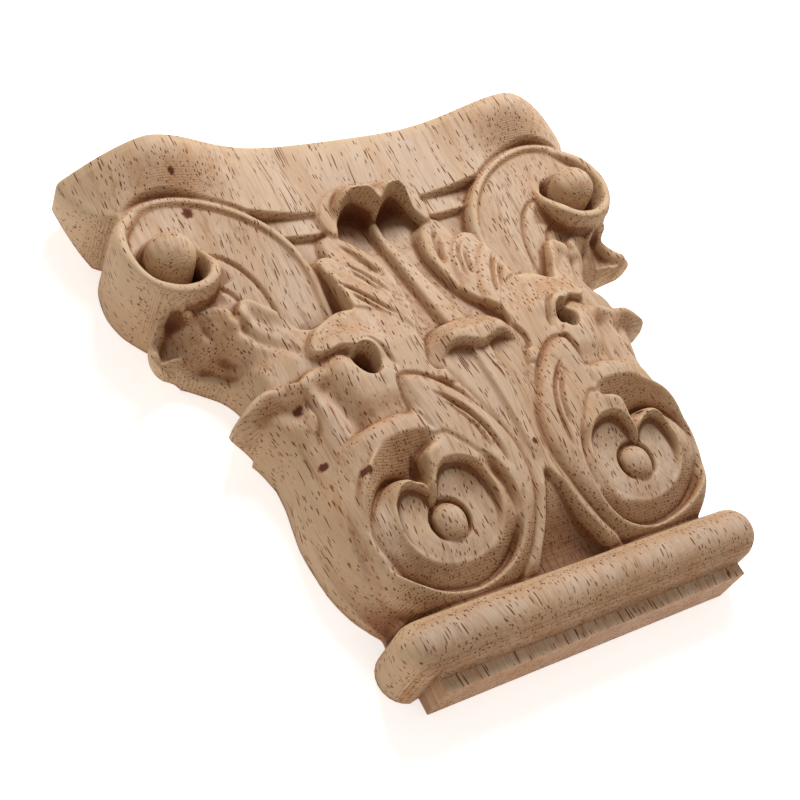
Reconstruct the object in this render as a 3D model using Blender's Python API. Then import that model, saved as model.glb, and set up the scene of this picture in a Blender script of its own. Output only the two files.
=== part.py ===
"""A wooden corner applique in the shape of a small capital, carved from one piece and flat behind.

It lies on its back. X runs across the face, Y up the face from the fillet to the slab on top, and Z out of
the carved front. The origin is the centre of the flat back.

The carving is one relief over the plan. Its places and heights are shares: of half the eye spacing across,
of the same unit of the carved rise up the face, and of the carved depth. The rod, the fillet, the holes and the
draft of the cutter have sizes of their own.
"""

import bpy
import numpy as np
from mathutils import Vector, geometry

MM = 0.001

# Carved body
EYE_SPACING = 98.0 * MM
CARVED_RISE = 105.6 * MM
CARVED_DEPTH = 23.6 * MM

# Round rod under the bell
ROD_DIAMETER = 10.5 * MM
ROD_LENGTH = 84.2 * MM
ROD_CREST = 15.6 * MM
ROD_GAP = 1.0 * MM

# Flat fillet under the rod
FILLET_LENGTH = 72.2 * MM
FILLET_THICKNESS = 9.4 * MM
FILLET_HEIGHT = 2.8 * MM

# Cuts
HOLE_WIDTH = 4.7 * MM
HOLE_LENGTH = 6.2 * MM
HOLE_DEPTH = 7.5 * MM
CUTTER_DRAFT = 0.8 * MM
CUTTER_BLUR = 0.26 * MM
FRONT_EDGE_ROUND = 0.9 * MM

# Fineness of the faceted solid
GRID_STEP = 0.55 * MM
RIM_STEP = 1.1 * MM
FACET_POINTS_COUNT = 1950

# Shares
TOP_RATIO = 2.155
LIP_CREST_RATIO = 0.482
HORN_BACK_RATIO = 1.1
THINNEST_RATIO = 0.04
ACROSS = EYE_SPACING / 2
UP = CARVED_RISE / TOP_RATIO
OUT = CARVED_DEPTH / LIP_CREST_RATIO
DRAFT = CUTTER_DRAFT / ACROSS
FOOT_DEPTH = ROD_GAP + ROD_DIAMETER + FILLET_HEIGHT
MIDDLE = (CARVED_RISE - FOOT_DEPTH) / 2


def curve(points, closed=False, per=6):
    """A smooth line through the points."""
    p = np.array(points, float)
    if closed:
        q = np.vstack([p[-1], p, p[0], p[1]])
    else:
        q = np.vstack([2 * p[0] - p[1], p, 2 * p[-1] - p[-2]])
    t = np.linspace(0, 1, per, endpoint=False)[:, None]
    parts = []
    for a, b, c, d in zip(q[:-3], q[1:-2], q[2:-1], q[3:]):
        cubic = 3 * b - a - 3 * c + d
        square = 2 * a - 5 * b + 4 * c - d
        parts.append(0.5 * (2 * b + (c - a) * t + square * t**2 + cubic * t**3))
    line = np.vstack(parts)
    return line if closed else np.vstack([line, p[-1]])


def oval(centre, half_width, half_length, count=32):
    turn = np.linspace(0, 2 * np.pi, count, endpoint=False)
    return np.c_[centre[0] + half_width * np.cos(turn), centre[1] + half_length * np.sin(turn)]


def both_sides(line):
    """Closes a line that starts and ends on the middle with its mirror image."""
    return np.vstack([line, (line * [-1, 1])[::-1][1:-1]])


def ease(x):
    x = np.clip(x, 0, 1)
    return x * x * (3 - 2 * x)


def round_over(d, width):
    """1 at the edge, falling to 0 at `width` inside it, like a quarter round."""
    k = np.clip(1 - d / width, 0, 1)
    return 1 - np.sqrt(np.maximum(0, 1 - k * k))


def hump(d, width):
    return np.exp(-((d / width) ** 2))


def closest(u, v, line):
    """Distance to the line, and the share of its length at the nearest point."""
    best = np.full(u.shape, 1e9)
    along = np.zeros(u.shape)
    steps = np.diff(line, axis=0)
    lengths = np.hypot(*steps.T)
    starts = np.r_[0, np.cumsum(lengths)]
    for (a, b), (du, dv), length, start in zip(line[:-1], steps, lengths, starts):
        if length < 1e-9:
            continue
        k = np.clip(((u - a) * du + (v - b) * dv) / length**2, 0, 1)
        gap = (u - a - k * du) ** 2 + (v - b - k * dv) ** 2
        near = gap < best
        best = np.where(near, gap, best)
        along = np.where(near, (start + k * length) / starts[-1], along)
    return np.sqrt(best), along


def inset(u, v, loop):
    """How far inside a closed loop a point lies; negative outside."""
    ring = np.vstack([loop, loop[:1]])
    odd = np.zeros(u.shape, bool)
    for (a, b), (c, d) in zip(ring[:-1], ring[1:]):
        if b != d:
            odd ^= ((b > v) != (d > v)) & (u < (c - a) * (v - b) / (d - b) + a)
    gap = closest(u, v, ring)[0]
    return np.where(odd, gap, -gap)


class Relief:
    """Heights over points of the plan, laid one form over another like cuts of a carving."""

    def __init__(self, u, v, wall):
        self.u, self.v, self.wall = u, v, wall
        self.height = np.zeros(u.shape)

    def near(self, line, margin):
        low, high = line.min(0) - margin, line.max(0) + margin
        return (self.u > low[0]) & (self.u < high[0]) & (self.v > low[1]) & (self.v < high[1])

    def lay(self, loop, surface, draft=DRAFT, round_width=0.0, round_drop=0.0):
        """Sets the height inside a loop, with a drafted wall outside it and a rounded rim inside."""
        here = self.near(loop, draft * 1.5)
        u, v = self.u[here], self.v[here]
        d = inset(u, v, loop)
        top = surface(u, v, d, self.wall[here])
        if round_width:
            top = top - round_drop * round_over(d, round_width)
        old = self.height[here]
        self.height[here] = old + (top - old) * ease((d + draft) / draft)

    def sink(self, loop, depth, draft=DRAFT):
        """Cuts the surface inside a loop down by a depth."""
        here = self.near(loop, 0)
        u, v = self.u[here], self.v[here]
        d = inset(u, v, loop)
        self.height[here] -= depth(u, v, d) * ease(d / draft)

    def groove(self, line, width, depth, fade=4.0):
        """Cuts a groove that thins towards its two ends."""
        here = self.near(line, width)
        d, along = closest(self.u[here], self.v[here], line)
        size = np.minimum(1, fade * np.minimum(along, 1 - along) + 0.05) ** 0.6
        self.height[here] -= depth * size * np.clip(1 - d / (0.5 * width * size), 0, 1)

    def bead(self, line, width, crest):
        """Raises a round bead; its half width and crest are functions of the share along it."""
        here = self.near(line, 0.1)
        d, along = closest(self.u[here], self.v[here], line)
        radius = width(along)
        top = crest(along) - radius * (1 - np.sqrt(np.maximum(0, 1 - (d / radius) ** 2)))
        old = self.height[here]
        self.height[here] = np.where(d < radius, np.maximum(old, top), old)

    def ball(self, centre, radius, crest, droop=0.0):
        """A ball, drawn out by a share of its radius on its lower side."""
        up = self.v - centre[1]
        d = np.hypot(self.u - centre[0], np.where(up < 0, up / (1 + droop), up)) / radius
        top = crest - radius * (1 - np.sqrt(np.maximum(0, 1 - d * d)))
        self.height = np.where(d < 1, np.maximum(self.height, top), self.height)


def bell_height(u, v, wall):
    """The convex body, turned down to the side walls and pinched in over the rod."""
    reach = 0.30 - 0.17 * hump(v - 0.33, 0.24)
    turn = np.clip(1 - np.clip(wall, 0, None) / reach, 0, 1)
    middle = np.clip(1 - (u / 0.8) ** 2, 0, 1)
    return 0.11 + 0.225 * np.sqrt(1 - turn * turn) + 0.05 * middle + 0.045 * ease((v - 0.05) / 0.9)


def pinched_bell(u, v, wall):
    return bell_height(u, v, wall) - 0.09 * np.exp(-np.clip(v + 0.03, 0, None) / 0.13)


def leaf_height(u, v):
    """The sheet that the middle leaves are cut in."""
    return 0.275 + 0.21 * np.clip(1.60 - v, 0, 0.6) + 0.04 * np.clip(0.3 - u, 0, 0.3)


def ground(relief):
    low = pinched_bell(relief.u, relief.v, relief.wall)
    relief.height = low + (0.235 - low) * ease((relief.v - 1.0) / 0.35)


def slab_height(u, v):
    """The slab's face bows forward into each horn, falls off to its end, and is hollowed over the volute."""
    crest = 0.90
    bow = 0.175 * hump(np.minimum(u - crest, 0), 0.34)
    fall = 0.225 * np.clip((u - crest) / 0.35, 0, 1.05) ** 1.45
    hollow = 0.120 * hump(u - 0.85, 0.21) * (1 - ease((v - 1.84) / 0.26))
    return 0.285 + bow - fall - hollow


def slab(relief):
    lower = curve([(-0.1, 1.765), (0.25, 1.77), (0.45, 1.785), (0.62, 1.81), (0.85, 1.85), (1.116, 1.868),
                   (1.3, 1.87)])
    loop = np.vstack([lower, [(1.4, 2.4), (-0.1, 2.4)]])
    relief.lay(loop - [0, 0.10], lambda u, v, d, wall: 0.268 + 0 * u)
    relief.lay(loop, lambda u, v, d, wall: slab_height(u, v))


def volute_height(u, v):
    return 0.322 + 0.13 * (v - 1.811) + 0.03 * ease((u - 0.95) / 0.2) * ease((1.85 - v) / 0.2)


def collar(relief):
    wide = np.array([(0.91, 1.335), (1.085, 1.350), (1.095, 1.45), (0.91, 1.45)])
    relief.lay(wide, lambda u, v, d, wall: 0.262 + 0 * u, draft=DRAFT / 2)
    loop = np.array([(0.985, 1.335), (1.085, 1.350), (1.095, 1.45), (0.99, 1.45)])
    relief.lay(loop, lambda u, v, d, wall: 0.300 + 0 * u, draft=DRAFT / 2)


def volute(relief):
    loop = curve([(0.42, 1.1), (0.408, 1.33), (0.412, 1.5), (0.452, 1.63), (0.525, 1.735), (0.63, 1.825),
                  (0.76, 1.89), (0.9, 1.922), (1.03, 1.905), (1.12, 1.85), (1.18, 1.77), (1.215, 1.68),
                  (1.21, 1.56), (1.165, 1.46), (1.09, 1.41), (0.99, 1.405), (0.8, 1.25), (0.7, 1.1)])

    def face(u, v, d, wall):
        rim = 0.016 * ease((0.044 - d) / 0.009)
        return volute_height(u, v) + rim - 0.02 * np.clip(1 - d / 0.02, 0, 1) ** 2

    relief.lay(loop, face)
    relief.groove(curve([(0.865, 1.63), (0.79, 1.62), (0.72, 1.56), (0.668, 1.46), (0.648, 1.35),
                         (0.64, 1.22)]), 0.024, 0.022)
    relief.groove(curve([(0.865, 1.487), (0.81, 1.465), (0.775, 1.41), (0.75, 1.34)]), 0.022, 0.018)


def volute_eye(relief):
    """The cup deepens below and beside the ball, and a ring rises round it and comes to a point."""
    cup = curve([(0.885, 1.69), (0.868, 1.58), (0.90, 1.50), (0.97, 1.465), (1.05, 1.475), (1.11, 1.53),
                 (1.130, 1.61), (1.12, 1.70), (1.07, 1.76), (0.99, 1.77), (0.93, 1.74)], closed=True)
    relief.sink(cup, lambda u, v, d: 0.115 * ease((1.70 + 0.20 * (1.13 - u) - v) / 0.14), draft=DRAFT)
    ring = curve([(0.90, 1.885), (1.03, 1.872), (1.11, 1.815), (1.16, 1.74), (1.172, 1.61), (1.135, 1.505),
                  (1.06, 1.452), (0.985, 1.437), (0.91, 1.457), (0.862, 1.51), (0.842, 1.59), (0.858, 1.70)])

    def ring_width(t):
        return 0.030 - 0.020 * ease((t - 0.80) / 0.20) - 0.012 * ease((0.25 - t) / 0.25)

    def ring_crest(t):
        return 0.330 + 0.062 * ease(t / 0.45) - 0.082 * ease((t - 0.78) / 0.22)

    relief.bead(ring, ring_width, ring_crest)
    relief.ball((1.002, 1.615), 0.104, 0.450)


def palmette(relief):
    """Three lobes a side, each with two cut veins."""
    lobes = [
        [(0.05, 0.95), (0.085, 1.2), (0.10, 1.35), (0.13, 1.48), (0.18, 1.59), (0.245, 1.645), (0.295, 1.635),
         (0.315, 1.57), (0.30, 1.45), (0.27, 1.3), (0.26, 1.1), (0.2, 0.95)],
        [(0.07, 0.95), (0.12, 1.15), (0.18, 1.34), (0.25, 1.46), (0.33, 1.525), (0.39, 1.515), (0.405, 1.46),
         (0.385, 1.36), (0.36, 1.25), (0.36, 1.1), (0.3, 0.95)],
        [(0.1, 0.85), (0.16, 1.08), (0.23, 1.24), (0.31, 1.36), (0.385, 1.43), (0.435, 1.42), (0.455, 1.34),
         (0.465, 1.22), (0.55, 1.15), (0.52, 0.95), (0.40, 0.78), (0.2, 0.75)],
    ]
    veins = [
        [[(0.25, 1.60), (0.20, 1.51), (0.145, 1.36)], [(0.235, 1.545), (0.19, 1.45), (0.16, 1.36)]],
        [[(0.30, 1.485), (0.24, 1.39), (0.185, 1.24)], [(0.29, 1.43), (0.25, 1.34), (0.22, 1.26)]],
        [[(0.405, 1.37), (0.325, 1.27), (0.23, 1.09)], [(0.375, 1.29), (0.32, 1.20), (0.275, 1.10)]],
    ]

    def lobe_height(u, v, number):
        return leaf_height(u, v) + 0.016 * number * ease((u - 0.10) / 0.12)

    for number, (lobe, cuts) in enumerate(zip(lobes, veins)):
        relief.lay(curve(lobe, closed=True), lambda u, v, d, wall: lobe_height(u, v, number), round_width=0.030,
                   round_drop=0.015)
        for cut in cuts:
            relief.groove(curve(cut), 0.023, 0.026)


def upper_middle_leaf(relief):
    """The stem behind the upper curled lip, with its midrib, and the lip over it."""
    stem = curve([(-0.2, 0.95), (-0.12, 1.2), (-0.105, 1.45), (-0.15, 1.6), (-0.22, 1.68), (-0.2, 1.8),
                  (0.2, 1.8), (0.22, 1.68), (0.15, 1.6), (0.105, 1.45), (0.12, 1.2),
                  (0.2, 0.95)], closed=True)

    def stem_height(u, v, d, wall):
        rib = 0.045 * ease((0.034 + 0.030 * ease((1.7 - v) / 0.7) - np.abs(u)) / 0.024)
        hollow = 0.020 * ease((v - 1.50) / 0.15)
        return 0.222 + 0.25 * np.clip(1.55 - v, 0, 0.7) + rib + 0.12 * np.clip(np.abs(u) - 0.05, 0, 0.1) - hollow

    relief.lay(stem, stem_height)
    lip = both_sides(curve([(0.0, 1.705), (0.05, 1.75), (0.10, 1.775), (0.15, 1.755), (0.19, 1.705),
                            (0.215, 1.64), (0.245, 1.635), (0.265, 1.69), (0.26, 1.75), (0.22, 1.82),
                            (0.14, 1.87), (0.0, 1.89)]))

    def lip_height(u, v, d, wall):
        side = np.abs(u)
        crest = 0.425 - 0.035 * ease((0.05 - side) / 0.05) - 0.15 * ease((side - 0.11) / 0.12)
        return np.maximum(crest - 0.13 * ease((v - 1.75) / 0.13), 0.297)

    relief.lay(lip, lip_height, draft=DRAFT * 0.8, round_width=0.022, round_drop=0.012)


def upper_side_leaf(relief):
    """A hollow sheet of three lobes under the volute, folded between them."""
    loop = curve([(0.44, 1.0), (0.52, 1.12), (0.585, 1.17), (0.63, 1.19), (0.665, 1.25), (0.705, 1.325),
                  (0.750, 1.392), (0.785, 1.398), (0.812, 1.365), (0.835, 1.332), (0.858, 1.372),
                  (0.90, 1.402), (0.955, 1.405), (0.985, 1.380), (1.01, 1.378), (1.05, 1.402), (1.10, 1.402),
                  (1.19, 1.39), (1.25, 1.30), (1.25, 1.15), (1.0, 1.05), (0.9, 0.95), (0.7, 0.88),
                  (0.5, 0.88)], closed=True)
    fold_inner = curve([(0.838, 1.33), (0.815, 1.26), (0.775, 1.18), (0.70, 1.09)])
    fold_outer = curve([(0.965, 1.36), (0.935, 1.30), (0.905, 1.23), (0.84, 1.14)])
    hollow = curve([(1.10, 1.325), (1.03, 1.27), (0.95, 1.21), (0.89, 1.15)])

    def sheet(u, v, d, wall):
        reach = np.hypot(u - 0.58, v - 1.04)
        height = 0.388 - 0.34 * reach + 0.11 * reach * reach
        inner, t = closest(u, v, fold_inner)
        height = height - 0.034 * hump(inner, 0.020) * (1 - 0.7 * t) + 0.012 * hump(inner, 0.05) * (1 - t)
        outer, t = closest(u, v, fold_outer)
        height = height - 0.028 * hump(outer, 0.019) * (1 - 0.8 * t) + 0.014 * hump(outer, 0.06) * (1 - t)
        height = height - 0.085 * hump(closest(u, v, hollow)[0], 0.078)
        turned_up = 0.034 * ease((0.075 - d) / 0.065) * ease((v - 1.20) / 0.10) * ease((1.06 - u) / 0.10)
        thinned = 0.09 * ease((0.11 - wall) / 0.10) * ease((1.30 - v) / 0.08) * ease((u - 0.84) / 0.06)
        end_rim = 0.035 * ease((0.050 - wall) / 0.025) * ease((u - 1.03) / 0.05) * ease((v - 1.23) / 0.04)
        return height + turned_up + end_rim - thinned

    relief.lay(loop, sheet, draft=DRAFT * 0.7)
    relief.groove(curve([(1.02, 1.245), (0.96, 1.225), (0.91, 1.18), (0.865, 1.12)]), 0.022, 0.010)
    relief.groove(curve([(0.98, 1.262), (0.93, 1.238), (0.88, 1.195), (0.835, 1.13)]), 0.022, 0.010)


def lower_side_leaf(relief):
    """The bell's own leaf, flared along two scallops over a hollow, with a trough between it and the curl."""
    scallop = curve([(1.06, 0.865), (1.0, 0.925), (0.94, 0.960), (0.875, 0.975), (0.815, 0.967), (0.765, 0.945)])
    second = curve([(0.765, 0.945), (0.725, 0.968), (0.68, 0.985), (0.62, 0.995)])
    inner = curve([(0.62, 0.995), (0.56, 1.02), (0.45, 1.0), (0.35, 0.90), (0.3, 0.8), (0.4, 0.55), (0.6, 0.3)])
    loop = np.vstack([scallop, second[1:], inner[1:], [(1.0, 0.1), (1.06, 0.7)]])
    hollow = curve([(0.97, 0.86), (0.90, 0.895), (0.84, 0.89), (0.80, 0.86)])
    trough = curve([(0.695, 0.96), (0.680, 0.88), (0.650, 0.80), (0.630, 0.71)])
    brow = curve([(0.65, 1.03), (0.56, 1.03), (0.51, 0.99)])

    def sheet(u, v, d, wall):
        first, t = closest(u, v, scallop)
        flare = (0.018 + 0.057 * hump(t - 0.45, 0.30)) * hump(first, 0.055)
        last, t = closest(u, v, second)
        flare = flare + 0.012 * hump(last, 0.045) * (1 - t)
        dip = 0.042 * hump(closest(u, v, hollow)[0], 0.045)
        gap, t = closest(u, v, trough)
        valley = 0.042 * hump(gap, 0.045) * ease(t / 0.3)
        cheek = 0.022 * ease((0.66 - u) / 0.08) * ease((v - 0.70) / 0.10)
        under = 0.045 * hump(closest(u, v, brow)[0], 0.055)
        return pinched_bell(u, v, wall) + flare + cheek - dip - valley - under

    relief.lay(loop, sheet, draft=DRAFT * 0.8)
    relief.groove(curve([(0.775, 0.925), (0.755, 0.86), (0.755, 0.78), (0.80, 0.68)]), 0.028, 0.022)


def drilled_curl(relief):
    """A brow that rises over the drilled hole and runs out on both sides."""
    brow = curve([(0.655, 1.085), (0.665, 1.05), (0.645, 1.028), (0.60, 1.026), (0.565, 1.028), (0.53, 1.010),
                  (0.494, 0.985), (0.468, 0.955), (0.452, 0.91)])
    back = curve([(0.452, 0.91), (0.38, 0.84), (0.25, 0.80), (0.22, 0.95), (0.25, 1.1), (0.36, 1.19),
                  (0.46, 1.21), (0.56, 1.18), (0.62, 1.13), (0.655, 1.085)])
    loop = np.vstack([brow, back[1:-1]])

    def band(u, v, d, wall):
        gap, along = closest(u, v, brow)
        lift = 0.036 * ease((0.15 - gap) / 0.13) * ease((1 - along) / 0.25)
        side = 0.055 * ease((u - 0.45) / 0.25)
        return leaf_height(u, v) + 0.020 - side + lift

    relief.lay(loop, band, draft=DRAFT * 0.6)
    hole = oval((0.490, 0.938), HOLE_WIDTH / 2 / ACROSS, HOLE_LENGTH / 2 / UP)
    relief.sink(hole, lambda u, v, d: HOLE_DEPTH / OUT + 0 * u, draft=DRAFT * 0.4)
    relief.groove(curve([(0.475, 1.045), (0.44, 1.025), (0.413, 0.988), (0.394, 0.939),
                         (0.381, 0.878)]), 0.026, 0.022)


def sheath_height(u, v, wall):
    """The swollen leaf base, which runs out into the bell towards the side wall, and how far it has done so."""
    swell = 0.262 + 0.185 * (1 - np.exp(-np.clip(v, -0.1, None) / 0.21))
    side = ease((u - 0.58) / 0.24) * (0.35 + 0.65 * ease((v - 0.02) / 0.22))
    return swell + (bell_height(u, v, wall) - 0.004 - swell) * side, side


def spiral_sheath(relief):
    """The leaf base that wraps each lower spiral, with two cut veins."""
    loop = curve([(0.43, 0.695), (0.43, 0.75), (0.41, 0.832), (0.35, 0.838), (0.28, 0.80), (0.2, 0.72),
                  (0.13, 0.61), (0.085, 0.5), (0.07, 0.38), (0.09, 0.25), (0.16, 0.1), (0.25, -0.01),
                  (0.4, -0.05), (0.60, -0.035), (0.74, 0.05), (0.80, 0.16), (0.83, 0.28), (0.835, 0.40),
                  (0.815, 0.52), (0.77, 0.60), (0.70, 0.645), (0.60, 0.674), (0.50, 0.692),
                  (0.46, 0.685)], closed=True)

    def body(u, v, d, wall):
        height, side = sheath_height(u, v, wall)
        return height - (0.040 - 0.036 * side) * round_over(d, 0.06)

    relief.lay(loop, body)
    relief.groove(curve([(0.43, 0.69), (0.41, 0.64), (0.39, 0.57)]), 0.018, 0.014)
    relief.groove(curve([(0.80, 0.47), (0.822, 0.38), (0.828, 0.29), (0.815, 0.20), (0.775, 0.105),
                         (0.70, 0.028), (0.60, -0.018)]), 0.022, 0.018)
    relief.groove(curve([(0.325, 0.735), (0.27, 0.685), (0.212, 0.61), (0.178, 0.53), (0.16, 0.44),
                         (0.155, 0.35)]), 0.026, 0.030)
    relief.groove(curve([(0.30, 0.68), (0.255, 0.63), (0.222, 0.57), (0.20, 0.49), (0.19, 0.42)]), 0.024, 0.026)


def lower_spiral(relief):
    """A channel round a heart-shaped curl that tilts down to the rod, its bowl, and the ball in its cup."""
    channel = curve([(0.395, 0.562), (0.425, 0.584), (0.48, 0.593), (0.556, 0.590), (0.63, 0.573),
                     (0.70, 0.525), (0.752, 0.45), (0.782, 0.36), (0.793, 0.27), (0.775, 0.185),
                     (0.708, 0.10), (0.60, 0.038), (0.46, 0.010), (0.34, 0.030), (0.25, 0.082), (0.195, 0.17),
                     (0.183, 0.28), (0.205, 0.375), (0.255, 0.465), (0.325, 0.535)], closed=True)

    def foot_height(u, v):
        inner = 0.09 * ease((0.32 - u) / 0.12) * ease((v - 0.05) / 0.15)
        outer = 0.045 * ease((u - 0.62) / 0.12) * ease((v - 0.06) / 0.16)
        return 0.240 + 0.15 * np.clip(v, 0, 0.5) + inner + outer

    def floor(u, v, d, wall):
        north = ease((v - 0.30) / 0.22) * ease((u - 0.30) / 0.12)
        slope = 0.428 - 0.85 * np.clip(d, 0, 0.12)
        height = foot_height(u, v) + (slope - foot_height(u, v)) * north
        closed = ease((v - 0.36) / 0.10) * ease((0.42 - u) / 0.05)
        return height + (sheath_height(u, v, wall)[0] - height) * closed

    relief.lay(channel, floor, draft=DRAFT * 0.5)
    curl = curve([(0.365, 0.556), (0.41, 0.530), (0.452, 0.512), (0.487, 0.487), (0.504, 0.452),
                  (0.532, 0.448), (0.568, 0.464), (0.618, 0.468), (0.668, 0.445), (0.716, 0.40),
                  (0.755, 0.34), (0.770, 0.28), (0.756, 0.21), (0.70, 0.125), (0.60, 0.055), (0.45, 0.022),
                  (0.345, 0.042), (0.262, 0.092), (0.212, 0.175), (0.203, 0.28), (0.222, 0.365), (0.268, 0.45),
                  (0.325, 0.525)], closed=True)

    def ring_height(u, v):
        plane = 0.303 + 0.36 * (v - 0.10) + 0.020 * ease((0.33 - u) / 0.12) * ease((v - 0.1) / 0.15)
        flush = sheath_height(u, v, 1.0)[0]
        return plane + (np.minimum(plane, flush) - plane) * ease((0.46 - u) / 0.08) * ease((v - 0.34) / 0.12)

    def curl_height(u, v, d, wall):
        ring = ring_height(u, v)
        north = ease((v - 0.34) / 0.10)
        slope = 0.045 + 0.025 * ease((u - 0.28) / 0.1) + 0.035 * ease((u - 0.62) / 0.10)
        k = np.clip(1 - d / (slope + (0.050 - slope) * north), 0, 1)
        shoulder = (0.75 * k + 0.25 * k * k) * (1 - north * ease((0.53 - u) / 0.06))
        return ring - (ring - foot_height(u, v)) * shoulder - 0.012 * round_over(d, 0.03)

    relief.lay(curl, curl_height, draft=DRAFT * 1.2)
    bowl = curve([(0.500, 0.325), (0.520, 0.372), (0.548, 0.397), (0.581, 0.409), (0.62, 0.402), (0.65, 0.374),
                  (0.668, 0.33), (0.672, 0.27), (0.66, 0.215), (0.625, 0.165), (0.56, 0.118), (0.45, 0.098),
                  (0.357, 0.114), (0.285, 0.162), (0.25, 0.225), (0.243, 0.30), (0.262, 0.375), (0.30, 0.425),
                  (0.345, 0.45), (0.402, 0.457), (0.445, 0.436), (0.475, 0.395), (0.490, 0.345)])

    def bowl_depth(u, v, d):
        north = ease((v - 0.11) / 0.26)
        return 0.003 + 0.048 * north + 0.010 * north * hump(d - 0.012, 0.008)

    relief.sink(bowl, bowl_depth, draft=DRAFT * 0.6)
    relief.groove(curve([(0.502, 0.53), (0.504, 0.45), (0.510, 0.39), (0.505, 0.34),
                         (0.48, 0.28)]), 0.040, 0.028)
    centre = (0.458, 0.257)
    relief.sink(oval(centre, 0.086, 0.086), lambda u, v, d: 0.085 + 0 * u, draft=DRAFT * 0.5)
    relief.ball((centre[0], centre[1] + 0.006), 0.0755, 0.365, droop=0.3)


def lower_middle_leaf(relief):
    """The stem under the lower lip parts into two legs that run down beside the spirals."""
    edge = curve([(0.22, 0.92), (0.165, 0.75), (0.115, 0.62), (0.072, 0.5), (0.056, 0.38), (0.075, 0.25),
                  (0.145, 0.1), (0.235, -0.01), (0.28, -0.08)])
    stem = np.vstack([edge, (edge * [-1, 1])[::-1]])

    def stem_height(u, v, d, wall):
        side = np.abs(u)
        rib = 0.018 * ease((0.030 + 0.02 * ease((v - 0.4) / 0.5) - side) / 0.012) * ease((v - 0.34) / 0.1)
        leg = 0.38 * np.clip(0.26 - v, 0, 0.4) + 0.05 * np.exp(-np.clip(v + 0.03, 0, None) / 0.03)
        return 0.385 + 0.035 * ease((v - 0.3) / 0.5) + rib - leg

    relief.lay(stem, stem_height, round_width=0.025, round_drop=0.012)
    lip = both_sides(curve([(0.0, 0.872), (0.05, 0.89), (0.10, 0.905), (0.15, 0.895), (0.187, 0.86),
                            (0.206, 0.828), (0.228, 0.842), (0.235, 0.89), (0.20, 0.96), (0.13, 1.01),
                            (0.0, 1.03)]))

    def lip_height(u, v, d, wall):
        return LIP_CREST_RATIO - 0.075 * ease((np.abs(u) - 0.1) / 0.13) - 0.055 * ease((v - 0.93) / 0.1)

    relief.lay(lip, lip_height, draft=DRAFT * 0.8, round_width=0.022, round_drop=0.012)


def leg_recess(relief):
    side = curve([(0.0, 0.30), (0.03, 0.225), (0.075, 0.12), (0.13, 0.03), (0.18, -0.06)])
    loop = both_sides(np.vstack([side, [(0.0, -0.06)]]))
    relief.lay(loop, lambda u, v, d, wall: 0.350 - 0.145 * ease((0.30 - v) / 0.30), draft=DRAFT * 1.6)


def foot(relief):
    """The rod and the fillet, in their own sizes, under the carving."""
    x = relief.u * ACROSS
    y = relief.v * UP
    radius = ROD_DIAMETER / 2
    axis = -ROD_GAP - radius
    past = np.clip(np.abs(x) - (ROD_LENGTH / 2 - radius), 0, None)
    round_part = np.sqrt(np.clip(radius**2 - (y - axis) ** 2 - past**2, 0, None))
    rod = np.where(y > axis - radius, ROD_CREST - radius + round_part, 0.0)
    fillet = np.where(y < axis - radius * 0.85, FILLET_THICKNESS, 0.0)
    relief.height = np.where(y < -ROD_GAP, np.maximum(rod, fillet) / OUT, relief.height)


def outline():
    """The plan's edge from the middle of the top, round the right side, to the middle of the bottom."""
    horn = curve([(1.235, TOP_RATIO), (1.249, TOP_RATIO - 0.02), (1.243, 2.08), (1.220, 2.0), (1.198, 1.945),
                  (1.162, 1.899), (1.12, 1.868)])
    scroll = curve([(1.12, 1.868), (1.152, 1.82), (1.18, 1.76), (1.193, 1.68), (1.19, 1.61), (1.165, 1.53),
                    (1.125, 1.47), (1.098, 1.435)])
    upper_leaf = curve([(1.098, 1.435), (1.128, 1.395), (1.157, 1.357), (1.178, 1.315), (1.190, 1.272),
                        (1.182, 1.238), (1.150, 1.228), (1.11, 1.240), (1.065, 1.250), (1.02, 1.228),
                        (0.965, 1.187), (0.905, 1.137), (0.865, 1.07), (0.862, 1.012)])
    lower_leaf = curve([(0.862, 1.012), (0.90, 1.000), (0.937, 0.972), (0.977, 0.942), (1.016, 0.912),
                        (1.016, 0.890), (0.965, 0.872), (0.925, 0.85), (0.897, 0.80), (0.87, 0.71)])
    bell = curve([(0.87, 0.71), (0.872, 0.62), (0.885, 0.53), (0.895, 0.44), (0.889, 0.34), (0.873, 0.23),
                  (0.837, 0.13), (0.79, 0.055), (0.765, 0.02), (0.765, -ROD_GAP / UP)])
    radius = ROD_DIAMETER / 2
    turn = np.linspace(0.5 * np.pi, -0.42 * np.pi, 12)
    rod = np.c_[(ROD_LENGTH / 2 - radius + radius * np.cos(turn)) / ACROSS,
                (-ROD_GAP - radius + radius * np.sin(turn)) / UP]
    half = FILLET_LENGTH / 2 / ACROSS
    fillet = np.array([(half, -(ROD_GAP + ROD_DIAMETER * 0.95) / UP), (half, -FOOT_DEPTH / UP),
                       (0, -FOOT_DEPTH / UP)])
    pieces = [[(0.0, TOP_RATIO)], horn, scroll[1:], upper_leaf[1:], lower_leaf[1:], bell[1:], rod, fillet]
    return np.vstack(pieces)


# Behind the horns and the tips of the side leaves: lowest and highest place, and where the back starts to rise
BACK_FOLDS = ((1.86, np.inf, 1.155), (1.16, 1.43, 1.04), (0.84, 1.02, 0.885))


def underside(u, v):
    """The back is flat, but cut away behind the horns and behind the tips of the side leaves."""
    rise = np.zeros(u.shape)
    for low, high, edge in BACK_FOLDS:
        rise = np.where((v > low) & (v < high), HORN_BACK_RATIO * np.clip(u - edge, 0, None), rise)
    return rise


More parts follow.
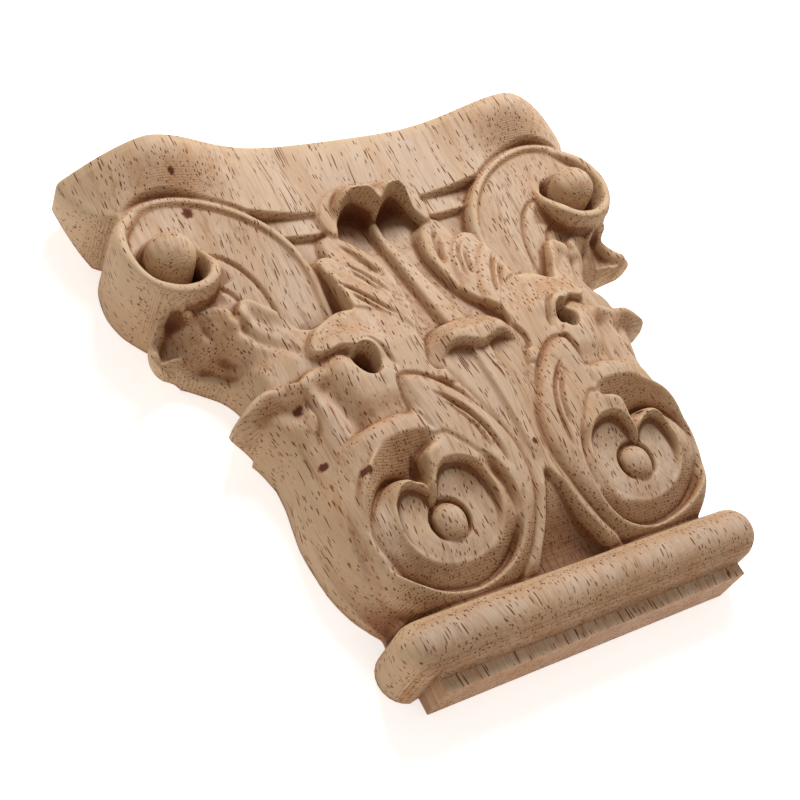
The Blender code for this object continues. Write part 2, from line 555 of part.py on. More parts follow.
def carving(u, v, wall):
    """Height of the front over points of the right half of the plan, in shares."""
    relief = Relief(u, v, wall)
    for cut in (ground, slab, collar, palmette, upper_middle_leaf, volute, volute_eye, upper_side_leaf,
                lower_side_leaf, drilled_curl, spiral_sheath, lower_spiral, lower_middle_leaf, leg_recess, foot):
        cut(relief)
    width = FRONT_EDGE_ROUND / ACROSS
    fillet_front = relief.v * UP < -ROD_GAP - ROD_DIAMETER * 0.85
    rounded = relief.height - 0.65 * width * round_over(np.clip(wall, 0, None), width)
    front = np.where(fillet_front, relief.height, rounded)
    return np.maximum(front, underside(u, v) + THINNEST_RATIO)


def even_points(line, step):
    """Points along a line at an even step, keeping its ends."""
    lengths = np.r_[0, np.cumsum(np.hypot(*np.diff(line, axis=0).T))]
    count = max(2, round(lengths[-1] / step) + 1)
    at = np.linspace(0, lengths[-1], count)
    return np.c_[np.interp(at, lengths, line[:, 0]), np.interp(at, lengths, line[:, 1])]


def whole_loop(half):
    return np.vstack([half, (half * [-1, 1])[::-1][1:-1]])


def blurred(grid, times):
    """A light blur; the first column is the middle line, so it is padded with its mirror image."""
    for _ in range(times):
        wide = np.hstack([grid[:, 1:2], grid, grid[:, -1:]])
        wide = (wide[:, :-2] + 2 * wide[:, 1:-1] + wide[:, 2:]) / 4
        tall = np.vstack([wide[:1], wide, wide[-1:]])
        grid = (tall[:-2] + 2 * tall[1:-1] + tall[2:]) / 4
    return grid


def half_grid(step):
    """Columns from the middle outwards, rows up the face, the carved height and the distance to the outline."""
    edge = outline()
    columns = np.arange(0, edge[:, 0].max() + 2 * step, step)
    rows = np.arange(edge[:, 1].min() - step, edge[:, 1].max() + 2 * step, step)
    u, v = np.meshgrid(columns, rows)
    wall = inset(u, v, whole_loop(edge))
    times = max(1, round(2 * (CUTTER_BLUR / ACROSS / step) ** 2))
    return columns, rows, blurred(carving(u, v, wall), times), wall


def triangles(points, edges):
    return np.array(geometry.delaunay_2d_cdt([Vector(p[:2]) for p in points], edges, [], 1, 1e-7)[2])


def both_halves(points, faces):
    """Adds the mirror image of the right half and tells the index of each point's image."""
    middle = points[:, 0] < 1e-9
    image = np.where(middle, np.arange(len(points)), len(points) + np.cumsum(~middle) - 1)
    whole = np.vstack([points, points[~middle] * [-1, 1, 1]])
    return whole, np.vstack([faces, image[faces][:, ::-1]]), image


def back_half(rim):
    """The flat back, folded up along lines behind the horns and the leaf tips."""
    plan = [np.c_[rim, underside(rim[:, 0], rim[:, 1])]]
    edges = [(i, i + 1) for i in range(len(rim) - 1)] + [(len(rim) - 1, 0)]
    count = len(rim)
    for low, high, edge in BACK_FOLDS:
        v = np.linspace(low, min(high, TOP_RATIO), 9)[1:-1]
        u = np.full(v.shape, edge)
        inside = inset(u, v, whole_loop(rim)) > 0.01
        plan.append(np.c_[u, v, 0 * u][inside])
        edges += [(i, i + 1) for i in range(count, count + inside.sum() - 1)]
        count += inside.sum()
    plan = np.vstack(plan)
    return plan, triangles(plan, edges)


def closed_mesh(name, front, front_faces, rim):
    """The carved front, the back and the walls between them, from the right half of the front."""
    front, front_faces, image = both_halves(front, front_faces)
    back, back_faces, back_image = both_halves(*back_half(rim))
    count = len(front)
    right = np.arange(len(rim))
    loop = np.r_[right, image[right][::-1][1:-1]]
    back_loop = count + np.r_[right, back_image[right][::-1][1:-1]]
    walls = np.c_[loop, np.roll(loop, -1), np.roll(back_loop, -1), back_loop]
    points = np.vstack([front, back]) * [ACROSS, UP, OUT] - [0, MIDDLE, 0]
    polygons = front_faces.tolist() + (count + back_faces[:, ::-1]).tolist() + walls.tolist()
    mesh = bpy.data.meshes.new(name)
    mesh.from_pydata(points.round(7).tolist(), [], polygons)
    mesh.validate()
    return mesh


def worst_points(points, faces, columns, rows, height, tilt, inside):
    """For each facet, the grid point that lies furthest off it, and how far that is."""
    found = []
    step = columns[1] - columns[0]
    for corners in points[faces]:
        low = np.floor((corners[:, :2].min(0) - (columns[0], rows[0])) / step).astype(int)
        high = np.ceil((corners[:, :2].max(0) - (columns[0], rows[0])) / step).astype(int) + 1
        across, up = slice(max(low[0], 0), high[0]), slice(max(low[1], 0), high[1])
        u, v = np.meshgrid(columns[across], rows[up])
        (a, b, c), (d, e, f), (g, h, i) = corners
        area = (d - a) * (h - b) - (g - a) * (e - b)
        if abs(area) < 1e-12:
            continue
        second = ((u - a) * (h - b) - (g - a) * (v - b)) / area
        third = ((d - a) * (v - b) - (u - a) * (e - b)) / area
        off = np.abs(c + second * (f - c) + third * (i - c) - height[up, across]) / tilt[up, across]
        off[(second < 0) | (third < 0) | (second + third > 1) | ~inside[up, across]] = 0
        row, column = np.unravel_index(off.argmax(), off.shape)
        found.append((off[row, column], up.start + row, across.start + column))
    return np.array(sorted(set(found), reverse=True))


def faceted_half(step, rim_step, count):
    """Facets over the right half, with points added where the facets lie furthest from the carving."""
    columns, rows, height, wall = half_grid(step)
    rim = even_points(outline(), rim_step)
    slope = np.gradient(height, step)
    tilt = np.sqrt(1 + slope[0] ** 2 + slope[1] ** 2)
    inside = wall > 0.6 * step
    used = np.zeros(inside.shape, bool)
    used[::12, ::12] = inside[::12, ::12]
    rim_points = np.c_[rim, carving(rim[:, 0], rim[:, 1], np.zeros(len(rim)))]
    edges = [(i, (i + 1) % len(rim)) for i in range(len(rim))]
    while True:
        row, column = np.nonzero(used)
        points = np.vstack([rim_points, np.c_[columns[column], rows[row], height[row, column]]])
        faces = triangles(points, edges)
        room = count - len(row)
        if room <= 0:
            return points, faces, rim
        worst = worst_points(points, faces, columns, rows, height, tilt, inside & ~used)
        take = worst[:min(room, 20 + len(row) // 3)]
        take = take[take[:, 0] > 0]
        if len(take) == 0:
            return points, faces, rim
        used[take[:, 1].astype(int), take[:, 2].astype(int)] = True


def wood():
    material = bpy.data.materials.new("light_hardwood")
    material.use_nodes = True
    shader = material.node_tree.nodes["Principled BSDF"]
    shader.inputs["Base Color"].default_value = (0.56, 0.36, 0.21, 1)
    shader.inputs["Roughness"].default_value = 0.75
    shader.inputs["Metallic"].default_value = 0.0
    return material


def carved_capital():
    front, faces, rim = faceted_half(GRID_STEP / ACROSS, RIM_STEP / ACROSS, FACET_POINTS_COUNT)
    mesh = closed_mesh("carved_capital", front, faces, rim)
    mesh.materials.append(wood())
    piece = bpy.data.objects.new("carved_capital", mesh)
    bpy.context.scene.collection.objects.link(piece)
    return piece


def main():
    for old in list(bpy.data.objects):
        bpy.data.objects.remove(old)
    carved_capital()


if __name__ == "__main__":
    main()
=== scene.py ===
"""A wooden corner applique in the shape of a small capital, lying on its back on a pale floor.

X runs across the face, Y up the face from the fillet to the slab on top, and Z out of the carved front. The
origin is the centre of the flat back. The carving is one relief over the plan, netted finely enough to show
every cut. In its shares u is 1 at a volute's eye, v runs from 0 just over the rod to 2.155 at the top, and
the highest lip is 0.482 high. ACROSS, UP and OUT turn them into metres.
"""

from math import pi, radians

import bpy
import numpy as np
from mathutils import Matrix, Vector, geometry


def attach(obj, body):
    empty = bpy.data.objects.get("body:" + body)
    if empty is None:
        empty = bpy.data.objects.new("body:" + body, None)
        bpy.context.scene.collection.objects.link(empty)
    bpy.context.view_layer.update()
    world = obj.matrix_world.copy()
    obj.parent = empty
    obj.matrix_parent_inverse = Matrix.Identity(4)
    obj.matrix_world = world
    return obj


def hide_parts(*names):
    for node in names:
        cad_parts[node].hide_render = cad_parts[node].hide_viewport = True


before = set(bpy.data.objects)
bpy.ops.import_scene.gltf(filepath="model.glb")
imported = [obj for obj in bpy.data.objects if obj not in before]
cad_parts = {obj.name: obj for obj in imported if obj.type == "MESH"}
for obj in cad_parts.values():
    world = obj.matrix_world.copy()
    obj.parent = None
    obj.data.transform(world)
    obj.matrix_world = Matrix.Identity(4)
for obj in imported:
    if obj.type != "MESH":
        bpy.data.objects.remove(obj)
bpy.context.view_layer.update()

MM = 0.001

# Carved body
EYE_SPACING = 98.0 * MM
CARVED_RISE = 105.6 * MM
CARVED_DEPTH = 23.6 * MM

# Round rod under the bell
ROD_DIAMETER = 10.5 * MM
ROD_LENGTH = 84.2 * MM
ROD_CREST = 15.6 * MM
ROD_GAP = 1.0 * MM

# Flat fillet under the rod
FILLET_LENGTH = 72.2 * MM
FILLET_THICKNESS = 9.4 * MM
FILLET_HEIGHT = 2.8 * MM

# Cuts
HOLE_WIDTH = 4.7 * MM
HOLE_LENGTH = 6.2 * MM
HOLE_DEPTH = 7.5 * MM
CUTTER_DRAFT = 0.8 * MM
CUTTER_BLUR = 0.26 * MM
FRONT_EDGE_ROUND = 0.9 * MM

# Fineness of the net and the lines
NET_STEP = 0.24 * MM
NET_FACES = 195000
SHARP_ANGLE = 50
CURVE_STEPS = 6
OVAL_POINTS = 32

# Camera: place in metres, turn in degrees, lens and sensor in millimetres
CAMERA_PLACE = (-0.14936, -0.10793, 0.20567)
CAMERA_TURN = (36.97, -19.09, -28.765)
CAMERA_LENS = 60.461
SENSOR_WIDTH = 36
NEAREST_SEEN = 10 * MM

# One soft key light and an even warm surround, in metres and watts
KEY_PLACE = (0.12, 0.25, 0.31)
KEY_SIZE = 0.16
KEY_POWER = 1.70
SURROUND_COLOUR = (1.0, 0.90, 0.80, 1)
SURROUND_STRENGTH = 0.47

# Pale floor, which glows a little so that shadows stay faint
FLOOR_REACH = 3.0
FLOOR_WHITE = (0.94, 0.94, 0.94, 1)
FLOOR_ROUGHNESS = 0.9
FLOOR_GLOW = 0.6

# Grain: cells of noise per millimetre, across the fibres, along them and into the wood
BAND_CELLS = (0.22, 0.012, 0.22)
STREAK_CELLS = (1.1, 0.04, 1.1)
THREAD_CELLS = (3.6, 0.16, 3.6)
PATCH_CELLS = (0.045, 0.03, 0.045)

# Noise values where bands, streaks and patches begin and are full, and shades of the threads
BAND_RANGE = (0.32, 0.68)
STREAK_RANGE = (0.50, 0.72)
PATCH_RANGE = (0.45, 0.75)
THREAD_SHADES = (0.84, 1.10)

# The fibres drift slowly to the sides: cells of noise per millimetre, and full swing in millimetres
DRIFT_CELLS = (0.05, 0.035, 0.05)
DRIFT_SWING = (7.0, 0.0, 3.0)

# Pores: width and length of a cell in millimetres, radius in widths, share of the cells with a pore
PORE_SIZES = ((0.55, 3.4, 0.20, 0.74), (0.70, 8.5, 0.20, 0.84), (0.85, 24.0, 0.18, 0.93))

# Softness of a pore's edge as a share of its radius, and how far pores differ in strength
PORE_EDGE_RATIO = 0.25
PORE_FADE = 0.5

# Pin knots: place in shares across and up the face, radius in millimetres
KNOTS = ((-0.83, 1.836, 1.4), (-0.855, 1.99, 0.9), (-0.794, 0.859, 1.0), (-0.805, 0.616, 0.9),
         (-0.72, 0.50, 1.1), (0.002, 0.430, 0.7), (0.57, 0.435, 0.6))

# Cells of the noise that frays the knots, and shares of the radius for their dark core and their edge
KNOT_CELLS = (1.5, 1.1, 1.5)
KNOT_CORE_RATIO = 0.55
KNOT_EDGE_RATIO = 1.1

# Rows left by the cutter: spacing in millimetres, and cells and values of the noise that breaks them up
CUTTER_ROW = 0.44
ROW_BREAK_CELLS = (0.9, 2.2, 0.9)
ROW_BREAK_RANGE = (0.30, 0.62)

# How far round a point the carving is looked at for hollows, creases and the feet of walls
HOLLOW_REACH = 3.0 * MM
CREASE_REACH = 0.7 * MM
BRIM_REACH = 1.5 * MM

# Millimetres below that level, negative above it, where each look begins and is full
HOLLOW_DEPTHS = (0.6, 5.2)
CREASE_DEPTHS = (0.03, 0.45)
CREST_DEPTHS = (-0.06, -0.45)
BRIM_DEPTHS = (3.8, 9.0)

# How far a face looks along the grain or sideways, 0 to 1, where each look begins and is full
END_GRAIN_SLOPES = (0.04, 0.75)
ROW_SLOPES = (0.30, 0.80)
# Where the painted shade on faces turned sideways and on steep walls begins and is full
SIDEWAYS_SHADE_SLOPES = (0.10, 0.80)
WALL_SLOPES = (0.80, 0.98)

# Linear colours of the wood, and tints that multiply it; the crest colour is a painted highlight, and the
# last four tints are painted shade
WOOD_PALE = (0.555, 0.418, 0.31, 1)
WOOD_TAN = (0.49, 0.325, 0.205, 1)
WOOD_STREAK = (0.31, 0.175, 0.09, 1)
WOOD_GREY = (0.43, 0.325, 0.24, 1)
# Painted highlight on crests
CREST_HIGHLIGHT = (0.59, 0.43, 0.27, 1)
WOOD_DARK = (0.16, 0.08, 0.035, 1)
PORE_BROWN = (0.16, 0.042, 0.010, 1)
KNOT_BROWN = (0.10, 0.028, 0.014, 1)
END_GRAIN = (0.86, 0.665, 0.49, 1)
# Painted shade on faces turned sideways and on steep walls
SIDEWAYS_SHADE = (1.0, 0.90, 0.77, 1)
WALL_SHADE = (0.80, 0.74, 0.68, 1)
# Painted shade in hollows, at the feet of walls and in creases
DEEP_SHADE = (0.46, 0.24, 0.11, 1)
CREASE_SHADE = (0.42, 0.25, 0.14, 1)

# Share of each colour or tint at its strongest
STREAK_SHARE = 0.65
GREY_SHARE = 0.45
END_GRAIN_SHARE = 0.75
# Share of the painted shade on faces turned sideways
SIDEWAYS_SHADE_SHARE = 0.8
# Share of the painted highlight on crests
CREST_HIGHLIGHT_SHARE = 0.5
# Shares of the painted shade in hollows, at the feet of walls and in creases
HOLLOW_SHADE_SHARE = 0.66
BRIM_SHADE_SHARE = 0.95
CREASE_SHADE_SHARE = 0.80
ROW_SHARE = 0.26
PORE_SHARE = 0.88
KNOT_SHARE = 0.95

# Surface: depth of the bump, weights of pores, threads and rows in it, roughness, and specular level
BUMP_DEPTH = 0.12 * MM
BUMP_STRENGTH = 0.9
PORE_BUMP = -0.9
THREAD_BUMP = 0.35
ROW_BUMP = -0.8
SMOOTHEST = 0.62
ROUGHEST = 0.76
PORE_ROUGHNESS = 0.15
SHINE = 0.28
PORE_SHINE = -0.25

# Shares
TOP_RATIO = 2.155
LIP_CREST_RATIO = 0.482
HORN_BACK_RATIO = 1.1
THINNEST_RATIO = 0.04
GROOVE_FADE = 4.0
ACROSS = EYE_SPACING / 2
UP = CARVED_RISE / TOP_RATIO
OUT = CARVED_DEPTH / LIP_CREST_RATIO
DRAFT = CUTTER_DRAFT / ACROSS
FOOT_DEPTH = ROD_GAP + ROD_DIAMETER + FILLET_HEIGHT
MIDDLE = (CARVED_RISE - FOOT_DEPTH) / 2

# Low on the rod; the front below this keeps its sharp edge, and no painted recess shade darkens it
FILLET_LINE = -ROD_GAP - ROD_DIAMETER * 0.85

# Drop of the rounded front edge in its widths, and the share of the carved height where the front begins
EDGE_DROP_RATIO = 0.65
FRONT_FROM_RATIO = 0.6


def curve(points, closed=False):
    """A smooth line through the points."""
    p = np.array(points, float)
    if closed:
        q = np.vstack([p[-1], p, p[0], p[1]])
    else:
        q = np.vstack([2 * p[0] - p[1], p, 2 * p[-1] - p[-2]])
    t = np.linspace(0, 1, CURVE_STEPS, endpoint=False)[:, None]
    parts = []
    for a, b, c, d in zip(q[:-3], q[1:-2], q[2:-1], q[3:]):
        cubic = 3 * b - a - 3 * c + d
        square = 2 * a - 5 * b + 4 * c - d
        parts.append(0.5 * (2 * b + (c - a) * t + square * t**2 + cubic * t**3))
    line = np.vstack(parts)
    return line if closed else np.vstack([line, p[-1]])


def oval(centre, half_width, half_length):
    turn = np.linspace(0, 2 * np.pi, OVAL_POINTS, endpoint=False)
    return np.c_[centre[0] + half_width * np.cos(turn), centre[1] + half_length * np.sin(turn)]


def both_sides(line):
    """Closes a line that starts and ends on the middle with its mirror image."""
    return np.vstack([line, (line * [-1, 1])[::-1][1:-1]])


def ease(x):
    x = np.clip(x, 0, 1)
    return x * x * (3 - 2 * x)


def round_over(d, width):
    """1 at the edge, falling to 0 at `width` inside it, like a quarter round."""
    k = np.clip(1 - d / width, 0, 1)
    return 1 - np.sqrt(np.maximum(0, 1 - k * k))


def hump(d, width):
    return np.exp(-((d / width) ** 2))


def flat_top(height):
    return lambda u, v, d, wall: height + 0 * u


def closest(u, v, line):
    """Distance to the line, and the share of its length at the nearest point."""
    best = np.full(u.shape, 1e9)
    along = np.zeros(u.shape)
    steps = np.diff(line, axis=0)
    lengths = np.hypot(*steps.T)
    starts = np.r_[0, np.cumsum(lengths)]
    for (a, b), (du, dv), length, start in zip(line[:-1], steps, lengths, starts):
        if length < 1e-9:
            continue
        k = np.clip(((u - a) * du + (v - b) * dv) / length**2, 0, 1)
        gap = (u - a - k * du) ** 2 + (v - b - k * dv) ** 2
        near = gap < best
        best = np.where(near, gap, best)
        along = np.where(near, (start + k * length) / starts[-1], along)
    return np.sqrt(best), along


def inset(u, v, loop):
    """How far inside a closed loop a point lies; negative outside."""
    ring = np.vstack([loop, loop[:1]])
    odd = np.zeros(u.shape, bool)
    for (a, b), (c, d) in zip(ring[:-1], ring[1:]):
        if b != d:
            odd ^= ((b > v) != (d > v)) & (u < (c - a) * (v - b) / (d - b) + a)
    gap = closest(u, v, ring)[0]
    return np.where(odd, gap, -gap)


class Relief:
    """Heights over points of the plan, laid one form over another like cuts of a carving."""

    def __init__(self, u, v, wall):
        self.u, self.v, self.wall = u, v, wall
        self.height = np.zeros(u.shape)

    def near(self, line, margin):
        low, high = line.min(0) - margin, line.max(0) + margin
        return (self.u > low[0]) & (self.u < high[0]) & (self.v > low[1]) & (self.v < high[1])

    def lay(self, loop, surface, draft=DRAFT, round_width=0.0, round_drop=0.0):
        """Sets the height inside a loop, with a drafted wall outside it and a rounded rim inside."""
        here = self.near(loop, draft * 1.5)
        u, v = self.u[here], self.v[here]
        d = inset(u, v, loop)
        top = surface(u, v, d, self.wall[here])
        if round_width:
            top = top - round_drop * round_over(d, round_width)
        old = self.height[here]
        self.height[here] = old + (top - old) * ease((d + draft) / draft)

    def sink(self, loop, depth, draft=DRAFT):
        """Cuts the surface inside a loop down by a depth."""
        here = self.near(loop, 0)
        u, v = self.u[here], self.v[here]
        d = inset(u, v, loop)
        self.height[here] -= depth(u, v, d) * ease(d / draft)

    def groove(self, points, width, depth):
        """Cuts a groove along the points that thins towards its two ends."""
        line = curve(points)
        here = self.near(line, width)
        d, along = closest(self.u[here], self.v[here], line)
        size = np.minimum(1, GROOVE_FADE * np.minimum(along, 1 - along) + 0.05) ** 0.6
        self.height[here] -= depth * size * np.clip(1 - d / (0.5 * width * size), 0, 1)

    def bead(self, line, width, crest):
        """Raises a round bead; its half width and crest are functions of the share along it."""
        here = self.near(line, 0.1)
        d, along = closest(self.u[here], self.v[here], line)
        radius = width(along)
        top = crest(along) - radius * (1 - np.sqrt(np.maximum(0, 1 - (d / radius) ** 2)))
        old = self.height[here]
        self.height[here] = np.where(d < radius, np.maximum(old, top), old)

    def ball(self, centre, radius, crest, droop=0.0):
        """A ball, drawn out by a share of its radius on its lower side."""
        up = self.v - centre[1]
        d = np.hypot(self.u - centre[0], np.where(up < 0, up / (1 + droop), up)) / radius
        top = crest - radius * (1 - np.sqrt(np.maximum(0, 1 - d * d)))
        self.height = np.where(d < 1, np.maximum(self.height, top), self.height)


def bell_height(u, v, wall):
    """The convex body, turned down to the side walls and pinched in over the rod."""
    reach = 0.30 - 0.17 * hump(v - 0.33, 0.24)
    turn = np.clip(1 - np.clip(wall, 0, None) / reach, 0, 1)
    middle = np.clip(1 - (u / 0.8) ** 2, 0, 1)
    return 0.11 + 0.225 * np.sqrt(1 - turn * turn) + 0.05 * middle + 0.045 * ease((v - 0.05) / 0.9)


def pinched_bell(u, v, wall):
    return bell_height(u, v, wall) - 0.09 * np.exp(-np.clip(v + 0.03, 0, None) / 0.13)


def leaf_height(u, v):
    """The sheet that the middle leaves are cut in."""
    return 0.275 + 0.21 * np.clip(1.60 - v, 0, 0.6) + 0.04 * np.clip(0.3 - u, 0, 0.3)


def ground(relief):
    low = pinched_bell(relief.u, relief.v, relief.wall)
    relief.height = low + (0.235 - low) * ease((relief.v - 1.0) / 0.35)


def slab_height(u, v):
    """The slab's face bows forward into each horn, falls off to its end, and is hollowed over the volute."""
    crest = 0.90
    bow = 0.175 * hump(np.minimum(u - crest, 0), 0.34)
    fall = 0.225 * np.clip((u - crest) / 0.35, 0, 1.05) ** 1.45
    hollow = 0.120 * hump(u - 0.85, 0.21) * (1 - ease((v - 1.84) / 0.26))
    return 0.285 + bow - fall - hollow


def slab(relief):
    lower = curve([(-0.1, 1.765), (0.25, 1.77), (0.45, 1.785), (0.62, 1.81), (0.85, 1.85), (1.116, 1.868),
                   (1.3, 1.87)])
    loop = np.vstack([lower, [(1.4, 2.4), (-0.1, 2.4)]])
    relief.lay(loop - [0, 0.10], flat_top(0.268))
    relief.lay(loop, lambda u, v, d, wall: slab_height(u, v))


def collar(relief):
    wide = np.array([(0.91, 1.335), (1.085, 1.350), (1.095, 1.45), (0.91, 1.45)])
    relief.lay(wide, flat_top(0.262), draft=DRAFT / 2)
    loop = np.array([(0.985, 1.335), (1.085, 1.350), (1.095, 1.45), (0.99, 1.45)])
    relief.lay(loop, flat_top(0.300), draft=DRAFT / 2)


def volute(relief):
    loop = curve([(0.42, 1.1), (0.408, 1.33), (0.412, 1.5), (0.452, 1.63), (0.525, 1.735), (0.63, 1.825),
                  (0.76, 1.89), (0.9, 1.922), (1.03, 1.905), (1.12, 1.85), (1.18, 1.77), (1.215, 1.68),
                  (1.21, 1.56), (1.165, 1.46), (1.09, 1.41), (0.99, 1.405), (0.8, 1.25), (0.7, 1.1)])

    def face(u, v, d, wall):
        plane = 0.322 + 0.13 * (v - 1.811) + 0.03 * ease((u - 0.95) / 0.2) * ease((1.85 - v) / 0.2)
        rim = 0.016 * ease((0.044 - d) / 0.009)
        return plane + rim - 0.02 * np.clip(1 - d / 0.02, 0, 1) ** 2

    relief.lay(loop, face)
    relief.groove([(0.865, 1.63), (0.79, 1.62), (0.72, 1.56), (0.668, 1.46), (0.648, 1.35),
                   (0.64, 1.22)], 0.024, 0.022)
    relief.groove([(0.865, 1.487), (0.81, 1.465), (0.775, 1.41), (0.75, 1.34)], 0.022, 0.018)


def volute_eye(relief):
    """The cup deepens below and beside the ball, and a ring rises round it and comes to a point."""
    cup = curve([(0.885, 1.69), (0.868, 1.58), (0.90, 1.50), (0.97, 1.465), (1.05, 1.475), (1.11, 1.53),
                 (1.130, 1.61), (1.12, 1.70), (1.07, 1.76), (0.99, 1.77), (0.93, 1.74)], closed=True)
    relief.sink(cup, lambda u, v, d: 0.115 * ease((1.70 + 0.20 * (1.13 - u) - v) / 0.14), draft=DRAFT)
    ring = curve([(0.90, 1.885), (1.03, 1.872), (1.11, 1.815), (1.16, 1.74), (1.172, 1.61), (1.135, 1.505),
                  (1.06, 1.452), (0.985, 1.437), (0.91, 1.457), (0.862, 1.51), (0.842, 1.59), (0.858, 1.70)])

    def ring_width(t):
        return 0.030 - 0.020 * ease((t - 0.80) / 0.20) - 0.012 * ease((0.25 - t) / 0.25)

    def ring_crest(t):
        return 0.330 + 0.062 * ease(t / 0.45) - 0.082 * ease((t - 0.78) / 0.22)

    relief.bead(ring, ring_width, ring_crest)
    relief.ball((1.002, 1.615), 0.104, 0.450)


def palmette(relief):
    """Three lobes a side, each with two cut veins."""
    lobes = [
        [(0.05, 0.95), (0.085, 1.2), (0.10, 1.35), (0.13, 1.48), (0.18, 1.59), (0.245, 1.645), (0.295, 1.635),
         (0.315, 1.57), (0.30, 1.45), (0.27, 1.3), (0.26, 1.1), (0.2, 0.95)],
        [(0.07, 0.95), (0.12, 1.15), (0.18, 1.34), (0.25, 1.46), (0.33, 1.525), (0.39, 1.515), (0.405, 1.46),
         (0.385, 1.36), (0.36, 1.25), (0.36, 1.1), (0.3, 0.95)],
        [(0.1, 0.85), (0.16, 1.08), (0.23, 1.24), (0.31, 1.36), (0.385, 1.43), (0.435, 1.42), (0.455, 1.34),
         (0.465, 1.22), (0.55, 1.15), (0.52, 0.95), (0.40, 0.78), (0.2, 0.75)],
    ]
    veins = [
        [[(0.25, 1.60), (0.20, 1.51), (0.145, 1.36)], [(0.235, 1.545), (0.19, 1.45), (0.16, 1.36)]],
        [[(0.30, 1.485), (0.24, 1.39), (0.185, 1.24)], [(0.29, 1.43), (0.25, 1.34), (0.22, 1.26)]],
        [[(0.405, 1.37), (0.325, 1.27), (0.23, 1.09)], [(0.375, 1.29), (0.32, 1.20), (0.275, 1.10)]],
    ]

    def lobe_height(u, v, number):
        return leaf_height(u, v) + 0.016 * number * ease((u - 0.10) / 0.12)

    for number, (lobe, cuts) in enumerate(zip(lobes, veins)):
        relief.lay(curve(lobe, closed=True), lambda u, v, d, wall: lobe_height(u, v, number),
                   round_width=0.030, round_drop=0.015)
        for cut in cuts:
            relief.groove(cut, 0.023, 0.026)


def upper_middle_leaf(relief):
    """The stem behind the upper curled lip, with its midrib, and the lip over it."""
    stem = curve([(-0.2, 0.95), (-0.12, 1.2), (-0.105, 1.45), (-0.15, 1.6), (-0.22, 1.68), (-0.2, 1.8),
                  (0.2, 1.8), (0.22, 1.68), (0.15, 1.6), (0.105, 1.45), (0.12, 1.2),
                  (0.2, 0.95)], closed=True)

    def stem_height(u, v, d, wall):
        rib = 0.045 * ease((0.034 + 0.030 * ease((1.7 - v) / 0.7) - np.abs(u)) / 0.024)
        hollow = 0.020 * ease((v - 1.50) / 0.15)
        flank = 0.12 * np.clip(np.abs(u) - 0.05, 0, 0.1)
        return 0.222 + 0.25 * np.clip(1.55 - v, 0, 0.7) + rib + flank - hollow

    relief.lay(stem, stem_height)
    lip = both_sides(curve([(0.0, 1.705), (0.05, 1.75), (0.10, 1.775), (0.15, 1.755), (0.19, 1.705),
                            (0.215, 1.64), (0.245, 1.635), (0.265, 1.69), (0.26, 1.75), (0.22, 1.82),
                            (0.14, 1.87), (0.0, 1.89)]))

    def lip_height(u, v, d, wall):
        side = np.abs(u)
        crest = 0.425 - 0.035 * ease((0.05 - side) / 0.05) - 0.15 * ease((side - 0.11) / 0.12)
        return np.maximum(crest - 0.13 * ease((v - 1.75) / 0.13), 0.297)

    relief.lay(lip, lip_height, draft=DRAFT * 0.8, round_width=0.022, round_drop=0.012)


def upper_side_leaf(relief):
    """A hollow sheet of three lobes under the volute, folded between them."""
    loop = curve([(0.44, 1.0), (0.52, 1.12), (0.585, 1.17), (0.63, 1.19), (0.665, 1.25), (0.705, 1.325),
                  (0.750, 1.392), (0.785, 1.398), (0.812, 1.365), (0.835, 1.332), (0.858, 1.372),
                  (0.90, 1.402), (0.955, 1.405), (0.985, 1.380), (1.01, 1.378), (1.05, 1.402), (1.10, 1.402),
                  (1.19, 1.39), (1.25, 1.30), (1.25, 1.15), (1.0, 1.05), (0.9, 0.95), (0.7, 0.88),
                  (0.5, 0.88)], closed=True)
    fold_inner = curve([(0.838, 1.33), (0.815, 1.26), (0.775, 1.18), (0.70, 1.09)])
    fold_outer = curve([(0.965, 1.36), (0.935, 1.30), (0.905, 1.23), (0.84, 1.14)])
    hollow = curve([(1.10, 1.325), (1.03, 1.27), (0.95, 1.21), (0.89, 1.15)])

    def sheet(u, v, d, wall):
        reach = np.hypot(u - 0.58, v - 1.04)
        height = 0.388 - 0.34 * reach + 0.11 * reach * reach
        inner, t = closest(u, v, fold_inner)
        height = height - 0.034 * hump(inner, 0.020) * (1 - 0.7 * t) + 0.012 * hump(inner, 0.05) * (1 - t)
        outer, t = closest(u, v, fold_outer)
        height = height - 0.028 * hump(outer, 0.019) * (1 - 0.8 * t) + 0.014 * hump(outer, 0.06) * (1 - t)
        height = height - 0.085 * hump(closest(u, v, hollow)[0], 0.078)
        turned_up = 0.034 * ease((0.075 - d) / 0.065) * ease((v - 1.20) / 0.10) * ease((1.06 - u) / 0.10)
        thinned = 0.09 * ease((0.11 - wall) / 0.10) * ease((1.30 - v) / 0.08) * ease((u - 0.84) / 0.06)
        end_rim = 0.035 * ease((0.050 - wall) / 0.025) * ease((u - 1.03) / 0.05) * ease((v - 1.23) / 0.04)
        return height + turned_up + end_rim - thinned

    relief.lay(loop, sheet, draft=DRAFT * 0.7)
    relief.groove([(1.02, 1.245), (0.96, 1.225), (0.91, 1.18), (0.865, 1.12)], 0.022, 0.010)
    relief.groove([(0.98, 1.262), (0.93, 1.238), (0.88, 1.195), (0.835, 1.13)], 0.022, 0.010)


